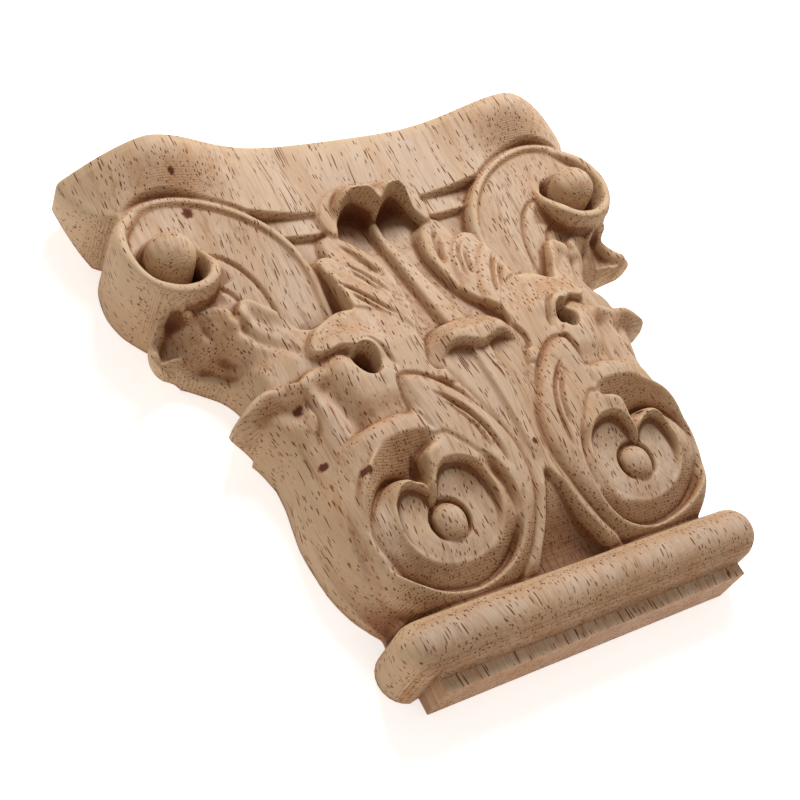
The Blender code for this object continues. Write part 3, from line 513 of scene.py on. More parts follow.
def lower_side_leaf(relief):
    """The bell's own leaf, flared along two scallops over a hollow, with a trough between it and the curl."""
    scallop = curve([(1.06, 0.865), (1.0, 0.925), (0.94, 0.960), (0.875, 0.975), (0.815, 0.967),
                     (0.765, 0.945)])
    second = curve([(0.765, 0.945), (0.725, 0.968), (0.68, 0.985), (0.62, 0.995)])
    inner = curve([(0.62, 0.995), (0.56, 1.02), (0.45, 1.0), (0.35, 0.90), (0.3, 0.8), (0.4, 0.55),
                   (0.6, 0.3)])
    loop = np.vstack([scallop, second[1:], inner[1:], [(1.0, 0.1), (1.06, 0.7)]])
    hollow = curve([(0.97, 0.86), (0.90, 0.895), (0.84, 0.89), (0.80, 0.86)])
    trough = curve([(0.695, 0.96), (0.680, 0.88), (0.650, 0.80), (0.630, 0.71)])
    brow = curve([(0.65, 1.03), (0.56, 1.03), (0.51, 0.99)])

    def sheet(u, v, d, wall):
        first, t = closest(u, v, scallop)
        flare = (0.018 + 0.057 * hump(t - 0.45, 0.30)) * hump(first, 0.055)
        last, t = closest(u, v, second)
        flare = flare + 0.012 * hump(last, 0.045) * (1 - t)
        dip = 0.042 * hump(closest(u, v, hollow)[0], 0.045)
        gap, t = closest(u, v, trough)
        valley = 0.042 * hump(gap, 0.045) * ease(t / 0.3)
        cheek = 0.022 * ease((0.66 - u) / 0.08) * ease((v - 0.70) / 0.10)
        under = 0.045 * hump(closest(u, v, brow)[0], 0.055)
        return pinched_bell(u, v, wall) + flare + cheek - dip - valley - under

    relief.lay(loop, sheet, draft=DRAFT * 0.8)
    relief.groove([(0.775, 0.925), (0.755, 0.86), (0.755, 0.78), (0.80, 0.68)], 0.028, 0.022)


def drilled_curl(relief):
    """A brow that rises over the drilled hole and runs out on both sides."""
    brow = curve([(0.655, 1.085), (0.665, 1.05), (0.645, 1.028), (0.60, 1.026), (0.565, 1.028), (0.53, 1.010),
                  (0.494, 0.985), (0.468, 0.955), (0.452, 0.91)])
    back = curve([(0.452, 0.91), (0.38, 0.84), (0.25, 0.80), (0.22, 0.95), (0.25, 1.1), (0.36, 1.19),
                  (0.46, 1.21), (0.56, 1.18), (0.62, 1.13), (0.655, 1.085)])
    loop = np.vstack([brow, back[1:-1]])

    def band(u, v, d, wall):
        gap, along = closest(u, v, brow)
        lift = 0.036 * ease((0.15 - gap) / 0.13) * ease((1 - along) / 0.25)
        side = 0.055 * ease((u - 0.45) / 0.25)
        return leaf_height(u, v) + 0.020 - side + lift

    relief.lay(loop, band, draft=DRAFT * 0.6)
    hole = oval((0.490, 0.938), HOLE_WIDTH / 2 / ACROSS, HOLE_LENGTH / 2 / UP)
    relief.sink(hole, lambda u, v, d: HOLE_DEPTH / OUT + 0 * u, draft=DRAFT * 0.4)
    relief.groove([(0.475, 1.045), (0.44, 1.025), (0.413, 0.988), (0.394, 0.939),
                   (0.381, 0.878)], 0.026, 0.022)


def sheath_height(u, v, wall):
    """The swollen leaf base, which runs out into the bell at the side, and how far it has done so."""
    swell = 0.262 + 0.185 * (1 - np.exp(-np.clip(v, -0.1, None) / 0.21))
    side = ease((u - 0.58) / 0.24) * (0.35 + 0.65 * ease((v - 0.02) / 0.22))
    return swell + (bell_height(u, v, wall) - 0.004 - swell) * side, side


def spiral_sheath(relief):
    """The leaf base that wraps each lower spiral, with two cut veins."""
    loop = curve([(0.43, 0.695), (0.43, 0.75), (0.41, 0.832), (0.35, 0.838), (0.28, 0.80), (0.2, 0.72),
                  (0.13, 0.61), (0.085, 0.5), (0.07, 0.38), (0.09, 0.25), (0.16, 0.1), (0.25, -0.01),
                  (0.4, -0.05), (0.60, -0.035), (0.74, 0.05), (0.80, 0.16), (0.83, 0.28), (0.835, 0.40),
                  (0.815, 0.52), (0.77, 0.60), (0.70, 0.645), (0.60, 0.674), (0.50, 0.692),
                  (0.46, 0.685)], closed=True)

    def body(u, v, d, wall):
        height, side = sheath_height(u, v, wall)
        return height - (0.040 - 0.036 * side) * round_over(d, 0.06)

    relief.lay(loop, body)
    relief.groove([(0.43, 0.69), (0.41, 0.64), (0.39, 0.57)], 0.018, 0.014)
    relief.groove([(0.80, 0.47), (0.822, 0.38), (0.828, 0.29), (0.815, 0.20), (0.775, 0.105),
                   (0.70, 0.028), (0.60, -0.018)], 0.022, 0.018)
    relief.groove([(0.325, 0.735), (0.27, 0.685), (0.212, 0.61), (0.178, 0.53), (0.16, 0.44),
                   (0.155, 0.35)], 0.026, 0.030)
    relief.groove([(0.30, 0.68), (0.255, 0.63), (0.222, 0.57), (0.20, 0.49),
                   (0.19, 0.42)], 0.024, 0.026)


def lower_spiral(relief):
    """A channel round a heart-shaped curl that tilts down to the rod, its bowl, and the ball in its cup."""
    channel = curve([(0.395, 0.562), (0.425, 0.584), (0.48, 0.593), (0.556, 0.590), (0.63, 0.573),
                     (0.70, 0.525), (0.752, 0.45), (0.782, 0.36), (0.793, 0.27), (0.775, 0.185),
                     (0.708, 0.10), (0.60, 0.038), (0.46, 0.010), (0.34, 0.030), (0.25, 0.082), (0.195, 0.17),
                     (0.183, 0.28), (0.205, 0.375), (0.255, 0.465), (0.325, 0.535)], closed=True)

    def foot_height(u, v):
        inner = 0.09 * ease((0.32 - u) / 0.12) * ease((v - 0.05) / 0.15)
        outer = 0.045 * ease((u - 0.62) / 0.12) * ease((v - 0.06) / 0.16)
        return 0.240 + 0.15 * np.clip(v, 0, 0.5) + inner + outer

    def floor(u, v, d, wall):
        north = ease((v - 0.30) / 0.22) * ease((u - 0.30) / 0.12)
        slope = 0.428 - 0.85 * np.clip(d, 0, 0.12)
        height = foot_height(u, v) + (slope - foot_height(u, v)) * north
        closed = ease((v - 0.36) / 0.10) * ease((0.42 - u) / 0.05)
        return height + (sheath_height(u, v, wall)[0] - height) * closed

    relief.lay(channel, floor, draft=DRAFT * 0.5)
    curl = curve([(0.365, 0.556), (0.41, 0.530), (0.452, 0.512), (0.487, 0.487), (0.504, 0.452),
                  (0.532, 0.448), (0.568, 0.464), (0.618, 0.468), (0.668, 0.445), (0.716, 0.40),
                  (0.755, 0.34), (0.770, 0.28), (0.756, 0.21), (0.70, 0.125), (0.60, 0.055), (0.45, 0.022),
                  (0.345, 0.042), (0.262, 0.092), (0.212, 0.175), (0.203, 0.28), (0.222, 0.365),
                  (0.268, 0.45), (0.325, 0.525)], closed=True)

    def ring_height(u, v):
        plane = 0.303 + 0.36 * (v - 0.10) + 0.020 * ease((0.33 - u) / 0.12) * ease((v - 0.1) / 0.15)
        flush = sheath_height(u, v, 1.0)[0]
        return plane + (np.minimum(plane, flush) - plane) * ease((0.46 - u) / 0.08) * ease((v - 0.34) / 0.12)

    def curl_height(u, v, d, wall):
        ring = ring_height(u, v)
        north = ease((v - 0.34) / 0.10)
        slope = 0.045 + 0.025 * ease((u - 0.28) / 0.1) + 0.035 * ease((u - 0.62) / 0.10)
        k = np.clip(1 - d / (slope + (0.050 - slope) * north), 0, 1)
        shoulder = (0.75 * k + 0.25 * k * k) * (1 - north * ease((0.53 - u) / 0.06))
        return ring - (ring - foot_height(u, v)) * shoulder - 0.012 * round_over(d, 0.03)

    relief.lay(curl, curl_height, draft=DRAFT * 1.2)
    bowl = curve([(0.500, 0.325), (0.520, 0.372), (0.548, 0.397), (0.581, 0.409), (0.62, 0.402),
                  (0.65, 0.374), (0.668, 0.33), (0.672, 0.27), (0.66, 0.215), (0.625, 0.165), (0.56, 0.118),
                  (0.45, 0.098), (0.357, 0.114), (0.285, 0.162), (0.25, 0.225), (0.243, 0.30), (0.262, 0.375),
                  (0.30, 0.425), (0.345, 0.45), (0.402, 0.457), (0.445, 0.436), (0.475, 0.395),
                  (0.490, 0.345)])

    def bowl_depth(u, v, d):
        north = ease((v - 0.11) / 0.26)
        return 0.003 + 0.048 * north + 0.010 * north * hump(d - 0.012, 0.008)

    relief.sink(bowl, bowl_depth, draft=DRAFT * 0.6)
    relief.groove([(0.502, 0.53), (0.504, 0.45), (0.510, 0.39), (0.505, 0.34),
                   (0.48, 0.28)], 0.040, 0.028)
    centre = (0.458, 0.257)
    relief.sink(oval(centre, 0.086, 0.086), lambda u, v, d: 0.085 + 0 * u, draft=DRAFT * 0.5)
    relief.ball((centre[0], centre[1] + 0.006), 0.0755, 0.365, droop=0.3)


def lower_middle_leaf(relief):
    """The stem under the lower lip parts into two legs that run down beside the spirals."""
    edge = curve([(0.22, 0.92), (0.165, 0.75), (0.115, 0.62), (0.072, 0.5), (0.056, 0.38), (0.075, 0.25),
                  (0.145, 0.1), (0.235, -0.01), (0.28, -0.08)])
    stem = np.vstack([edge, (edge * [-1, 1])[::-1]])

    def stem_height(u, v, d, wall):
        side = np.abs(u)
        rib = 0.018 * ease((0.030 + 0.02 * ease((v - 0.4) / 0.5) - side) / 0.012) * ease((v - 0.34) / 0.1)
        leg = 0.38 * np.clip(0.26 - v, 0, 0.4) + 0.05 * np.exp(-np.clip(v + 0.03, 0, None) / 0.03)
        return 0.385 + 0.035 * ease((v - 0.3) / 0.5) + rib - leg

    relief.lay(stem, stem_height, round_width=0.025, round_drop=0.012)
    lip = both_sides(curve([(0.0, 0.872), (0.05, 0.89), (0.10, 0.905), (0.15, 0.895), (0.187, 0.86),
                            (0.206, 0.828), (0.228, 0.842), (0.235, 0.89), (0.20, 0.96), (0.13, 1.01),
                            (0.0, 1.03)]))

    def lip_height(u, v, d, wall):
        return LIP_CREST_RATIO - 0.075 * ease((np.abs(u) - 0.1) / 0.13) - 0.055 * ease((v - 0.93) / 0.1)

    relief.lay(lip, lip_height, draft=DRAFT * 0.8, round_width=0.022, round_drop=0.012)


def leg_recess(relief):
    side = curve([(0.0, 0.30), (0.03, 0.225), (0.075, 0.12), (0.13, 0.03), (0.18, -0.06)])
    loop = both_sides(np.vstack([side, [(0.0, -0.06)]]))
    relief.lay(loop, lambda u, v, d, wall: 0.350 - 0.145 * ease((0.30 - v) / 0.30), draft=DRAFT * 1.6)


def foot(relief):
    """The rod and the fillet, in their own sizes, under the carving."""
    x = relief.u * ACROSS
    y = relief.v * UP
    radius = ROD_DIAMETER / 2
    axis = -ROD_GAP - radius
    past = np.clip(np.abs(x) - (ROD_LENGTH / 2 - radius), 0, None)
    round_part = np.sqrt(np.clip(radius**2 - (y - axis) ** 2 - past**2, 0, None))
    rod = np.where(y > axis - radius, ROD_CREST - radius + round_part, 0.0)
    fillet = np.where(y < axis - radius * 0.85, FILLET_THICKNESS, 0.0)
    relief.height = np.where(y < -ROD_GAP, np.maximum(rod, fillet) / OUT, relief.height)


def outline():
    """The plan's edge from the middle of the top, round the right side, to the middle of the bottom."""
    horn = curve([(1.235, TOP_RATIO), (1.249, TOP_RATIO - 0.02), (1.243, 2.08), (1.220, 2.0), (1.198, 1.945),
                  (1.162, 1.899), (1.12, 1.868)])
    scroll = curve([(1.12, 1.868), (1.152, 1.82), (1.18, 1.76), (1.193, 1.68), (1.19, 1.61), (1.165, 1.53),
                    (1.125, 1.47), (1.098, 1.435)])
    upper_leaf = curve([(1.098, 1.435), (1.128, 1.395), (1.157, 1.357), (1.178, 1.315), (1.190, 1.272),
                        (1.182, 1.238), (1.150, 1.228), (1.11, 1.240), (1.065, 1.250), (1.02, 1.228),
                        (0.965, 1.187), (0.905, 1.137), (0.865, 1.07), (0.862, 1.012)])
    lower_leaf = curve([(0.862, 1.012), (0.90, 1.000), (0.937, 0.972), (0.977, 0.942), (1.016, 0.912),
                        (1.016, 0.890), (0.965, 0.872), (0.925, 0.85), (0.897, 0.80), (0.87, 0.71)])
    bell = curve([(0.87, 0.71), (0.872, 0.62), (0.885, 0.53), (0.895, 0.44), (0.889, 0.34), (0.873, 0.23),
                  (0.837, 0.13), (0.79, 0.055), (0.765, 0.02), (0.765, -ROD_GAP / UP)])
    radius = ROD_DIAMETER / 2
    turn = np.linspace(0.5 * np.pi, -0.42 * np.pi, 12)
    rod = np.c_[(ROD_LENGTH / 2 - radius + radius * np.cos(turn)) / ACROSS,
                (-ROD_GAP - radius + radius * np.sin(turn)) / UP]
    half = FILLET_LENGTH / 2 / ACROSS
    fillet = np.array([(half, -(ROD_GAP + ROD_DIAMETER * 0.95) / UP), (half, -FOOT_DEPTH / UP),
                       (0, -FOOT_DEPTH / UP)])
    pieces = [[(0.0, TOP_RATIO)], horn, scroll[1:], upper_leaf[1:], lower_leaf[1:], bell[1:], rod, fillet]
    return np.vstack(pieces)


# Behind the horns and the side leaves' tips: lowest and highest place, and where the back starts to rise
BACK_FOLDS = ((1.86, np.inf, 1.155), (1.16, 1.43, 1.04), (0.84, 1.02, 0.885))


def underside(u, v):
    """The back is flat, but cut away behind the horns and behind the tips of the side leaves."""
    rise = np.zeros(u.shape)
    for low, high, edge in BACK_FOLDS:
        rise = np.where((v > low) & (v < high), HORN_BACK_RATIO * np.clip(u - edge, 0, None), rise)
    return rise


def carving(u, v, wall):
    """Height of the front over points of the right half of the plan, in shares."""
    relief = Relief(u, v, wall)
    for cut in (ground, slab, collar, palmette, upper_middle_leaf, volute, volute_eye, upper_side_leaf,
                lower_side_leaf, drilled_curl, spiral_sheath, lower_spiral, lower_middle_leaf, leg_recess,
                foot):
        cut(relief)
    width = FRONT_EDGE_ROUND / ACROSS
    rounded = relief.height - EDGE_DROP_RATIO * width * round_over(np.clip(wall, 0, None), width)
    front = np.where(relief.v * UP < FILLET_LINE, relief.height, rounded)
    return np.maximum(front, underside(u, v) + THINNEST_RATIO)


def even_points(line, step):
    """Points along a line at an even step, keeping its ends."""
    lengths = np.r_[0, np.cumsum(np.hypot(*np.diff(line, axis=0).T))]
    count = max(2, round(lengths[-1] / step) + 1)
    at = np.linspace(0, lengths[-1], count)
    return np.c_[np.interp(at, lengths, line[:, 0]), np.interp(at, lengths, line[:, 1])]


def weighted(before, here, after):
    return (before + 2 * here + after) / 4


def highest(before, here, after):
    return np.maximum(np.maximum(before, here), after)


def spread(grid, blend, times):
    """Blends each point with its neighbours; the middle line is padded with its mirror image."""
    for _ in range(times):
        wide = np.hstack([grid[:, 1:2], grid, grid[:, -1:]])
        wide = blend(wide[:, :-2], wide[:, 1:-1], wide[:, 2:])
        tall = np.vstack([wide[:1], wide, wide[-1:]])
        grid = blend(tall[:-2], tall[1:-1], tall[2:])
    return grid


def half_grid(step):
    """Columns out from the middle, rows up the face, the carved height and the distance to the outline."""
    edge = outline()
    columns = np.arange(0, edge[:, 0].max() + 2 * step, step)
    rows = np.arange(edge[:, 1].min() - step, edge[:, 1].max() + 2 * step, step)
    u, v = np.meshgrid(columns, rows)
    wall = inset(u, v, both_sides(edge))
    times = max(1, round(2 * (CUTTER_BLUR / ACROSS / step) ** 2))
    return columns, rows, spread(carving(u, v, wall), weighted, times), wall


def triangles(points, edges):
    return np.array(geometry.delaunay_2d_cdt([Vector(p[:2]) for p in points], edges, [], 1, 1e-7)[2])


def both_halves(points, faces):
    """Adds the mirror image of the right half and tells the index of each point's image."""
    middle = points[:, 0] < 1e-9
    image = np.where(middle, np.arange(len(points)), len(points) + np.cumsum(~middle) - 1)
    whole = np.vstack([points, points[~middle] * [-1, 1, 1]])
    return whole, np.vstack([faces, image[faces][:, ::-1]]), image


def back_half(rim):
    """The flat back, folded up along lines behind the horns and the leaf tips."""
    plan = [np.c_[rim, underside(rim[:, 0], rim[:, 1])]]
    edges = [(i, i + 1) for i in range(len(rim) - 1)] + [(len(rim) - 1, 0)]
    count = len(rim)
    for low, high, edge in BACK_FOLDS:
        v = np.linspace(low, min(high, TOP_RATIO), 9)[1:-1]
        u = np.full(v.shape, edge)
        inside = inset(u, v, both_sides(rim)) > 0.01
        plan.append(np.c_[u, v, 0 * u][inside])
        edges += [(i, i + 1) for i in range(count, count + inside.sum() - 1)]
        count += inside.sum()
    plan = np.vstack(plan)
    return plan, triangles(plan, edges)


def closed_mesh(front, front_faces, rim):
    """The carved front, the back and the walls between them, from the right half of the front."""
    front, front_faces, image = both_halves(front, front_faces)
    back, back_faces, back_image = both_halves(*back_half(rim))
    count = len(front)
    right = np.arange(len(rim))
    loop = np.r_[right, image[right][::-1][1:-1]]
    back_loop = count + np.r_[right, back_image[right][::-1][1:-1]]
    walls = np.c_[loop, np.roll(loop, -1), np.roll(back_loop, -1), back_loop]
    points = np.vstack([front, back]) * [ACROSS, UP, OUT] - [0, MIDDLE, 0]
    polygons = front_faces.tolist() + (count + back_faces[:, ::-1]).tolist() + walls.tolist()
    mesh = bpy.data.meshes.new("carving_net")
    mesh.from_pydata(points.round(7).tolist(), [], polygons)
    mesh.validate()
    return mesh


def fine_half(step):
    """An even net of small cells over the right half, with a strip of triangles out to the outline."""
    columns, rows, height, wall = half_grid(step)
    rim = even_points(outline(), step)
    keep = wall > 0.5 * step
    cell = keep[:-1, :-1] & keep[:-1, 1:] & keep[1:, :-1] & keep[1:, 1:]
    low, left = np.nonzero(cell)
    across = len(columns)
    corner = low * across + left
    a, b, c, d = corner, corner + 1, corner + across + 1, corner + across
    flat = height.ravel()
    rising = np.abs(flat[a] - flat[c]) < np.abs(flat[b] - flat[d])
    first = np.where(rising[:, None], np.c_[a, b, c], np.c_[a, b, d])
    second = np.where(rising[:, None], np.c_[a, c, d], np.c_[b, c, d])
    inner = np.vstack([first, second])
    sides = np.vstack([np.c_[a, b], np.c_[b, c], np.c_[d, c], np.c_[a, d]])
    pairs, seen = np.unique(sides, axis=0, return_counts=True)
    border = pairs[seen == 1]
    used, index = np.unique(inner, return_inverse=True)
    u, v = columns[used % across], rows[used // across]
    grid_points = np.c_[u, v, flat[used]]
    rim_points = np.c_[rim, carving(rim[:, 0], rim[:, 1], np.zeros(len(rim)))]
    border_ids, border_index = np.unique(border, return_inverse=True)
    strip_plan = np.vstack([rim_points, np.c_[columns[border_ids % across], rows[border_ids // across],
                                              flat[border_ids]]])
    edges = [(i, (i + 1) % len(rim)) for i in range(len(rim))]
    edges += (len(rim) + border_index.reshape(border.shape)).tolist()
    strip = triangles(strip_plan, edges)
    middle = strip_plan[strip][:, :, :2].mean(1)
    column = np.clip(((middle[:, 0] - columns[0]) / step).astype(int), 0, cell.shape[1] - 1)
    row = np.clip(((middle[:, 1] - rows[0]) / step).astype(int), 0, cell.shape[0] - 1)
    strip = strip[~cell[row, column]]
    place = np.r_[np.arange(len(rim)), len(rim) + np.searchsorted(used, border_ids)]
    faces = np.vstack([place[strip], len(rim) + index.reshape(inner.shape)])
    return np.vstack([rim_points, grid_points]), faces, rim


def surroundings(grid, reach):
    """The mean height around each point of the net."""
    return spread(grid, weighted, round(2 * (reach / NET_STEP) ** 2))


def brims(grid, reach):
    """The highest point within reach of each point of the net, softened a little."""
    return surroundings(spread(grid, highest, round(reach / NET_STEP)), 0.5 * reach)


def sampled(grid, columns, rows, points):
    """Reads a grid of the right half at the points, which may lie on either side."""
    step = columns[1] - columns[0]
    across = np.clip(np.abs(points[:, 0]) / ACROSS / step, 0, grid.shape[1] - 1.001)
    up = np.clip(((points[:, 1] + MIDDLE) / UP - rows[0]) / step, 0, grid.shape[0] - 1.001)
    left, low = across.astype(int), up.astype(int)
    across, up = across - left, up - low
    lower = grid[low, left] * (1 - across) + grid[low, left + 1] * across
    upper = grid[low + 1, left] * (1 - across) + grid[low + 1, left + 1] * across
    return lower * (1 - up) + upper * up


def mark_recesses(mesh):
    """Stores how many millimetres each point of the front lies below the carving around it, for painted
    shade.
    """
    columns, rows, height, wall = half_grid(NET_STEP / ACROSS)
    with_floor = np.where(wall > 0, height, 0.0)
    points = np.empty(len(mesh.vertices) * 3)
    mesh.vertices.foreach_get("co", points)
    points = points.reshape(-1, 3)
    over_fillet = points[:, 1] + MIDDLE > FILLET_LINE
    carved = OUT * sampled(height, columns, rows, points)
    front = over_fillet & (points[:, 2] > FRONT_FROM_RATIO * carved)
    levels = {
        "hollow": surroundings(with_floor, HOLLOW_REACH),
        "crease": surroundings(with_floor, CREASE_REACH),
        "brim": brims(with_floor, BRIM_REACH),
    }
    for name, level in levels.items():
        under = (level - height) * OUT / MM
        values = np.where(front, sampled(under, columns, rows, points), 0.0)
        mesh.attributes.new(name, "FLOAT", "POINT").data.foreach_set("value", values)


def new_object(name, data):
    thing = bpy.data.objects.new(name, data)
    bpy.context.scene.collection.objects.link(thing)
    return thing


def carved_capital():
    """The fine net of the carving, thinned where it is flat."""
    front, faces, rim = fine_half(NET_STEP / ACROSS)
    mesh = closed_mesh(front, faces, rim)
    mesh.calc_loop_triangles()
    piece = new_object("carving", mesh)
    fewer = piece.modifiers.new("fewer_faces", "DECIMATE")
    fewer.ratio = min(1.0, NET_FACES / len(mesh.loop_triangles))
    graph = bpy.context.evaluated_depsgraph_get()
    fine = bpy.data.meshes.new_from_object(piece.evaluated_get(graph))
    piece.modifiers.remove(fewer)
    piece.data = fine
    fine.shade_smooth()
    fine.set_sharp_from_angle(angle=radians(SHARP_ANGLE))
    mark_recesses(fine)
    return piece


class Nodes:
    """Builds a node tree in few words."""

    def __init__(self, tree):
        self.tree = tree

    def add(self, kind, inputs=(), **settings):
        node = self.tree.nodes.new(kind)
        for name, value in settings.items():
            setattr(node, name, value)
        for slot, value in dict(inputs).items():
            if isinstance(value, bpy.types.NodeSocket):
                self.tree.links.new(value, node.inputs[slot])
            else:
                node.inputs[slot].default_value = value
        return node

    def math(self, operation, a, b=0.0, c=0.0):
        return self.add("ShaderNodeMath", {0: a, 1: b, 2: c}, operation=operation).outputs[0]

    def times(self, a, b):
        return self.math("MULTIPLY", a, b)

    def vector(self, operation, a, b, output="Vector"):
        return self.add("ShaderNodeVectorMath", {0: a, 1: b}, operation=operation).outputs[output]

    def smooth(self, value, low, high, to_low=0.0, to_high=1.0):
        ends = {"Value": value, "From Min": low, "From Max": high, "To Min": to_low, "To Max": to_high}
        return self.add("ShaderNodeMapRange", ends, interpolation_type="SMOOTHSTEP").outputs[0]

    def stretch(self, place, scale):
        return self.add("ShaderNodeMapping", {"Vector": place, "Scale": scale}).outputs[0]

    def noise(self, place, cells, detail=2.0, rough=0.5, output="Fac"):
        inputs = {"Vector": self.stretch(place, cells), "Scale": 1.0, "Detail": detail, "Roughness": rough}
        return self.add("ShaderNodeTexNoise", inputs).outputs[output]

    def mix(self, share, a, b, blend="MIX"):
        node = self.add("ShaderNodeMix", {0: share, 6: a, 7: b}, data_type="RGBA", blend_type=blend)
        return node.outputs[2]

    def tint(self, share, color, by):
        """Multiplies a share of the colour by another."""
        return self.mix(share, color, self.mix(1.0, color, by, "MULTIPLY"))

    def recess(self, name, depths):
        depth = self.add("ShaderNodeAttribute", attribute_name=name).outputs["Fac"]
        return self.smooth(depth, *depths)


def grain_space(nodes):
    """Object space in millimetres, and the same space with the fibres drifting slowly to the sides."""
    place = nodes.add("ShaderNodeTexCoord").outputs["Object"]
    millimetres = nodes.stretch(place, (1000, 1000, 1000))
    drift = nodes.noise(millimetres, DRIFT_CELLS, detail=1.0, output="Color")
    wander = nodes.vector("MULTIPLY", nodes.vector("SUBTRACT", drift, (0.5, 0.5, 0.5)), DRIFT_SWING)
    return millimetres, nodes.vector("ADD", millimetres, wander)


def grain(nodes, millimetres, fibres, thread):
    """Pale and tan growth bands, with darker streaks, greyer patches and fine threads."""
    bands = nodes.noise(fibres, BAND_CELLS, detail=3.0)
    streaks = nodes.noise(fibres, STREAK_CELLS, detail=3.0, rough=0.6)
    patches = nodes.noise(millimetres, PATCH_CELLS)
    color = nodes.mix(nodes.smooth(bands, *BAND_RANGE), WOOD_TAN, WOOD_PALE)
    color = nodes.mix(nodes.smooth(streaks, *STREAK_RANGE, 0.0, STREAK_SHARE), color, WOOD_STREAK)
    color = nodes.mix(nodes.smooth(patches, *PATCH_RANGE, 0.0, GREY_SHARE), color, WOOD_GREY)
    fine = nodes.smooth(thread, 0.25, 0.75, *THREAD_SHADES)
    threads = nodes.add("ShaderNodeCombineColor", {0: fine, 1: fine, 2: fine}).outputs[0]
    return nodes.mix(1.0, color, threads, "MULTIPLY")


def end_grain_and_side_shade(nodes, color, steep, sideways):
    """End grain is darker and redder; faces turned sideways get a warm painted shade, the steepest walls a
    darker one.
    """
    color = nodes.tint(nodes.smooth(steep, *END_GRAIN_SLOPES, 0.0, END_GRAIN_SHARE), color, END_GRAIN)
    side = nodes.smooth(sideways, *SIDEWAYS_SHADE_SLOPES, 0.0, SIDEWAYS_SHADE_SHARE)
    color = nodes.tint(side, color, SIDEWAYS_SHADE)
    return nodes.tint(nodes.smooth(sideways, *WALL_SLOPES), color, WALL_SHADE)


def crest_highlight_and_recess_shade(nodes, color):
    """Crests get a painted highlight; hollows, creases and the feet of high walls get a dark red painted
    shade.
    """
    crest = nodes.recess("crease", CREST_DEPTHS)
    crease = nodes.recess("crease", CREASE_DEPTHS)
    hollow = nodes.recess("hollow", HOLLOW_DEPTHS)
    under_brim = nodes.recess("brim", BRIM_DEPTHS)
    deep_shade = nodes.math("MAXIMUM", nodes.times(hollow, HOLLOW_SHADE_SHARE), nodes.times(under_brim, BRIM_SHADE_SHARE))
    color = nodes.mix(nodes.times(crest, CREST_HIGHLIGHT_SHARE), color, CREST_HIGHLIGHT)
    color = nodes.tint(deep_shade, color, DEEP_SHADE)
    return nodes.tint(nodes.times(crease, CREASE_SHADE_SHARE), color, CREASE_SHADE)


def pores(nodes, fibres):
    """Open vessels of three lengths, cut by the surface as dashes along the grain and as dots across it."""
    total = 0.0
    for width, length, radius, share in PORE_SIZES:
        place = nodes.stretch(fibres, (1 / width, 1 / length, 1 / width))
        cells = nodes.add("ShaderNodeTexVoronoi", {"Vector": place, "Scale": 1.0})
        inner, outer = radius * (1 - PORE_EDGE_RATIO), radius * (1 + PORE_EDGE_RATIO)
        near = nodes.smooth(cells.outputs["Distance"], inner, outer, 1.0, 0.0)
        chance = nodes.add("ShaderNodeSeparateColor", {0: cells.outputs["Color"]}).outputs[0]
        open_share = nodes.smooth(chance, 1 - share, 1 - share + PORE_FADE)
        total = nodes.math("MAXIMUM", total, nodes.times(near, open_share))
    return total


def knots(nodes, millimetres):
    """Small dark pin knots, each running straight into the wood."""
    across = nodes.vector("MULTIPLY", millimetres, (1, 1, 0))
    ragged = nodes.math("SUBTRACT", nodes.noise(millimetres, KNOT_CELLS), 0.5)
    total = 0.0
    for u, v, radius in KNOTS:
        place = (u * ACROSS / MM, (v * UP - MIDDLE) / MM, 0)
        gap = nodes.vector("DISTANCE", across, place, "Value")
        reach = nodes.math("ADD", gap, nodes.times(ragged, radius))
        spot = nodes.smooth(reach, radius * KNOT_CORE_RATIO, radius * KNOT_EDGE_RATIO, 1.0, 0.0)
        total = nodes.math("MAXIMUM", total, spot)
    return total


def cutter_rows(nodes, millimetres, steep):
    """Fine rows left by the round cutter on slopes that face along the grain."""
    parts = nodes.add("ShaderNodeSeparateXYZ", {0: millimetres})
    wave = nodes.math("SINE", nodes.times(parts.outputs["Y"], 2 * pi / CUTTER_ROW))
    broken = nodes.smooth(nodes.noise(millimetres, ROW_BREAK_CELLS, detail=1.0), *ROW_BREAK_RANGE)
    line = nodes.times(nodes.smooth(wave, 0.2, 1.0), broken)
    return nodes.times(line, nodes.smooth(steep, *ROW_SLOPES))


def new_material(name):
    material = bpy.data.materials.new(name)
    material.use_nodes = True
    return material, material.node_tree.nodes["Principled BSDF"]


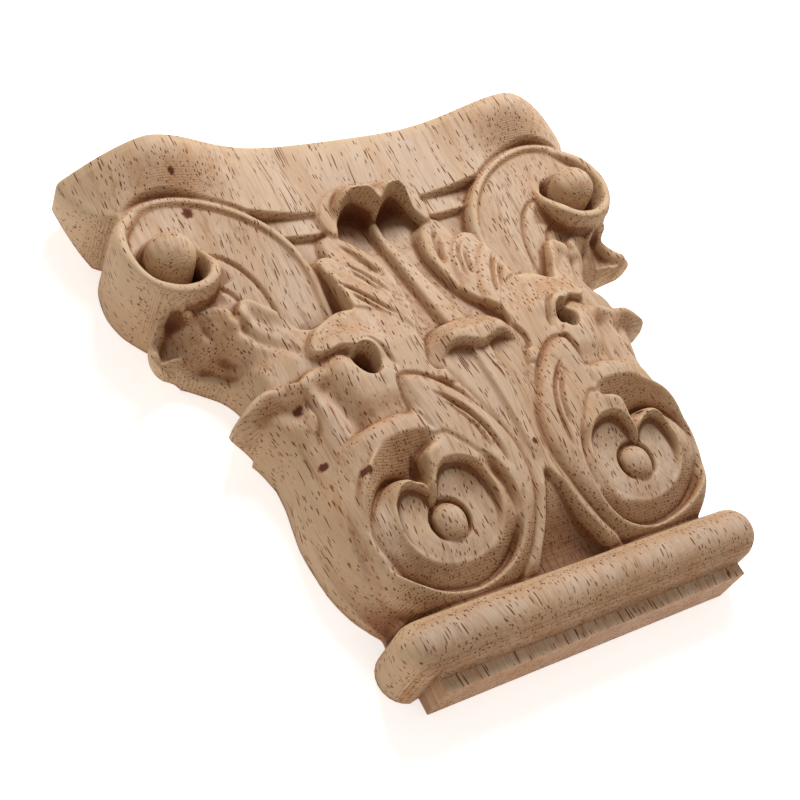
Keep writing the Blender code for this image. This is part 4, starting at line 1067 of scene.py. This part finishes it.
def wood():
    material, shader = new_material("light_hardwood")
    nodes = Nodes(material.node_tree)
    link = material.node_tree.links.new
    millimetres, fibres = grain_space(nodes)
    facing = nodes.add("ShaderNodeSeparateXYZ", {0: nodes.add("ShaderNodeTexCoord").outputs["Normal"]})
    steep = nodes.math("ABSOLUTE", facing.outputs["Y"])
    sideways = nodes.math("ABSOLUTE", facing.outputs["X"])
    thread = nodes.noise(fibres, THREAD_CELLS, detail=3.0, rough=0.6)

    color = grain(nodes, millimetres, fibres, thread)
    # End grain, and painted shade on faces turned sideways and on steep walls
    color = end_grain_and_side_shade(nodes, color, steep, sideways)
    # Painted highlight on crests, and painted shade in hollows, creases and at the feet of walls
    color = crest_highlight_and_recess_shade(nodes, color)
    rows = cutter_rows(nodes, millimetres, steep)
    holes = pores(nodes, fibres)
    spots = knots(nodes, millimetres)
    color = nodes.mix(nodes.times(rows, ROW_SHARE), color, WOOD_DARK)
    color = nodes.mix(nodes.times(holes, PORE_SHARE), color, PORE_BROWN)
    color = nodes.mix(nodes.times(spots, KNOT_SHARE), color, KNOT_BROWN)
    link(color, shader.inputs["Base Color"])

    relief = nodes.math("MULTIPLY_ADD", holes, PORE_BUMP, nodes.times(thread, THREAD_BUMP))
    relief = nodes.math("MULTIPLY_ADD", rows, ROW_BUMP, relief)
    bump = {"Height": relief, "Distance": BUMP_DEPTH, "Strength": BUMP_STRENGTH}
    link(nodes.add("ShaderNodeBump", bump).outputs[0], shader.inputs["Normal"])
    dull = nodes.smooth(thread, 0.2, 0.8, SMOOTHEST, ROUGHEST)
    link(nodes.math("MULTIPLY_ADD", holes, PORE_ROUGHNESS, dull), shader.inputs["Roughness"])
    shine = nodes.math("MULTIPLY_ADD", nodes.math("MAXIMUM", holes, spots), PORE_SHINE, SHINE)
    link(shine, shader.inputs["Specular IOR Level"])
    return material


def floor():
    reach = FLOOR_REACH
    corners = [(-reach, -reach, 0), (reach, -reach, 0), (reach, reach, 0), (-reach, reach, 0)]
    mesh = bpy.data.meshes.new("floor")
    mesh.from_pydata(corners, [], [(0, 1, 2, 3)])
    piece = new_object("floor", mesh)
    material, shader = new_material("white_floor")
    shader.inputs["Base Color"].default_value = FLOOR_WHITE
    shader.inputs["Roughness"].default_value = FLOOR_ROUGHNESS
    shader.inputs["Emission Color"].default_value = (1, 1, 1, 1)
    shader.inputs["Emission Strength"].default_value = FLOOR_GLOW
    mesh.materials.append(material)


def camera():
    lens = bpy.data.cameras.new("camera")
    lens.sensor_width = SENSOR_WIDTH
    lens.lens = CAMERA_LENS
    lens.clip_start = NEAREST_SEEN
    viewer = new_object("camera", lens)
    viewer.location = CAMERA_PLACE
    viewer.rotation_euler = [radians(turn) for turn in CAMERA_TURN]
    bpy.context.scene.camera = viewer


def key_light():
    light = bpy.data.lights.new("key", "AREA")
    light.size = KEY_SIZE
    light.energy = KEY_POWER
    lamp = new_object("key", light)
    lamp.location = KEY_PLACE
    lamp.rotation_euler = (-Vector(KEY_PLACE)).to_track_quat("-Z", "Y").to_euler()


def surround():
    world = bpy.data.worlds.new("studio")
    world.use_nodes = True
    background = world.node_tree.nodes["Background"]
    background.inputs["Color"].default_value = SURROUND_COLOUR
    background.inputs["Strength"].default_value = SURROUND_STRENGTH
    bpy.context.scene.world = world


piece = carved_capital()
piece.data.materials.append(wood())
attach(piece, "root")
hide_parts("carved_capital")
floor()
camera()
key_light()
surround()
bpy.context.scene.view_settings.view_transform = "Standard"
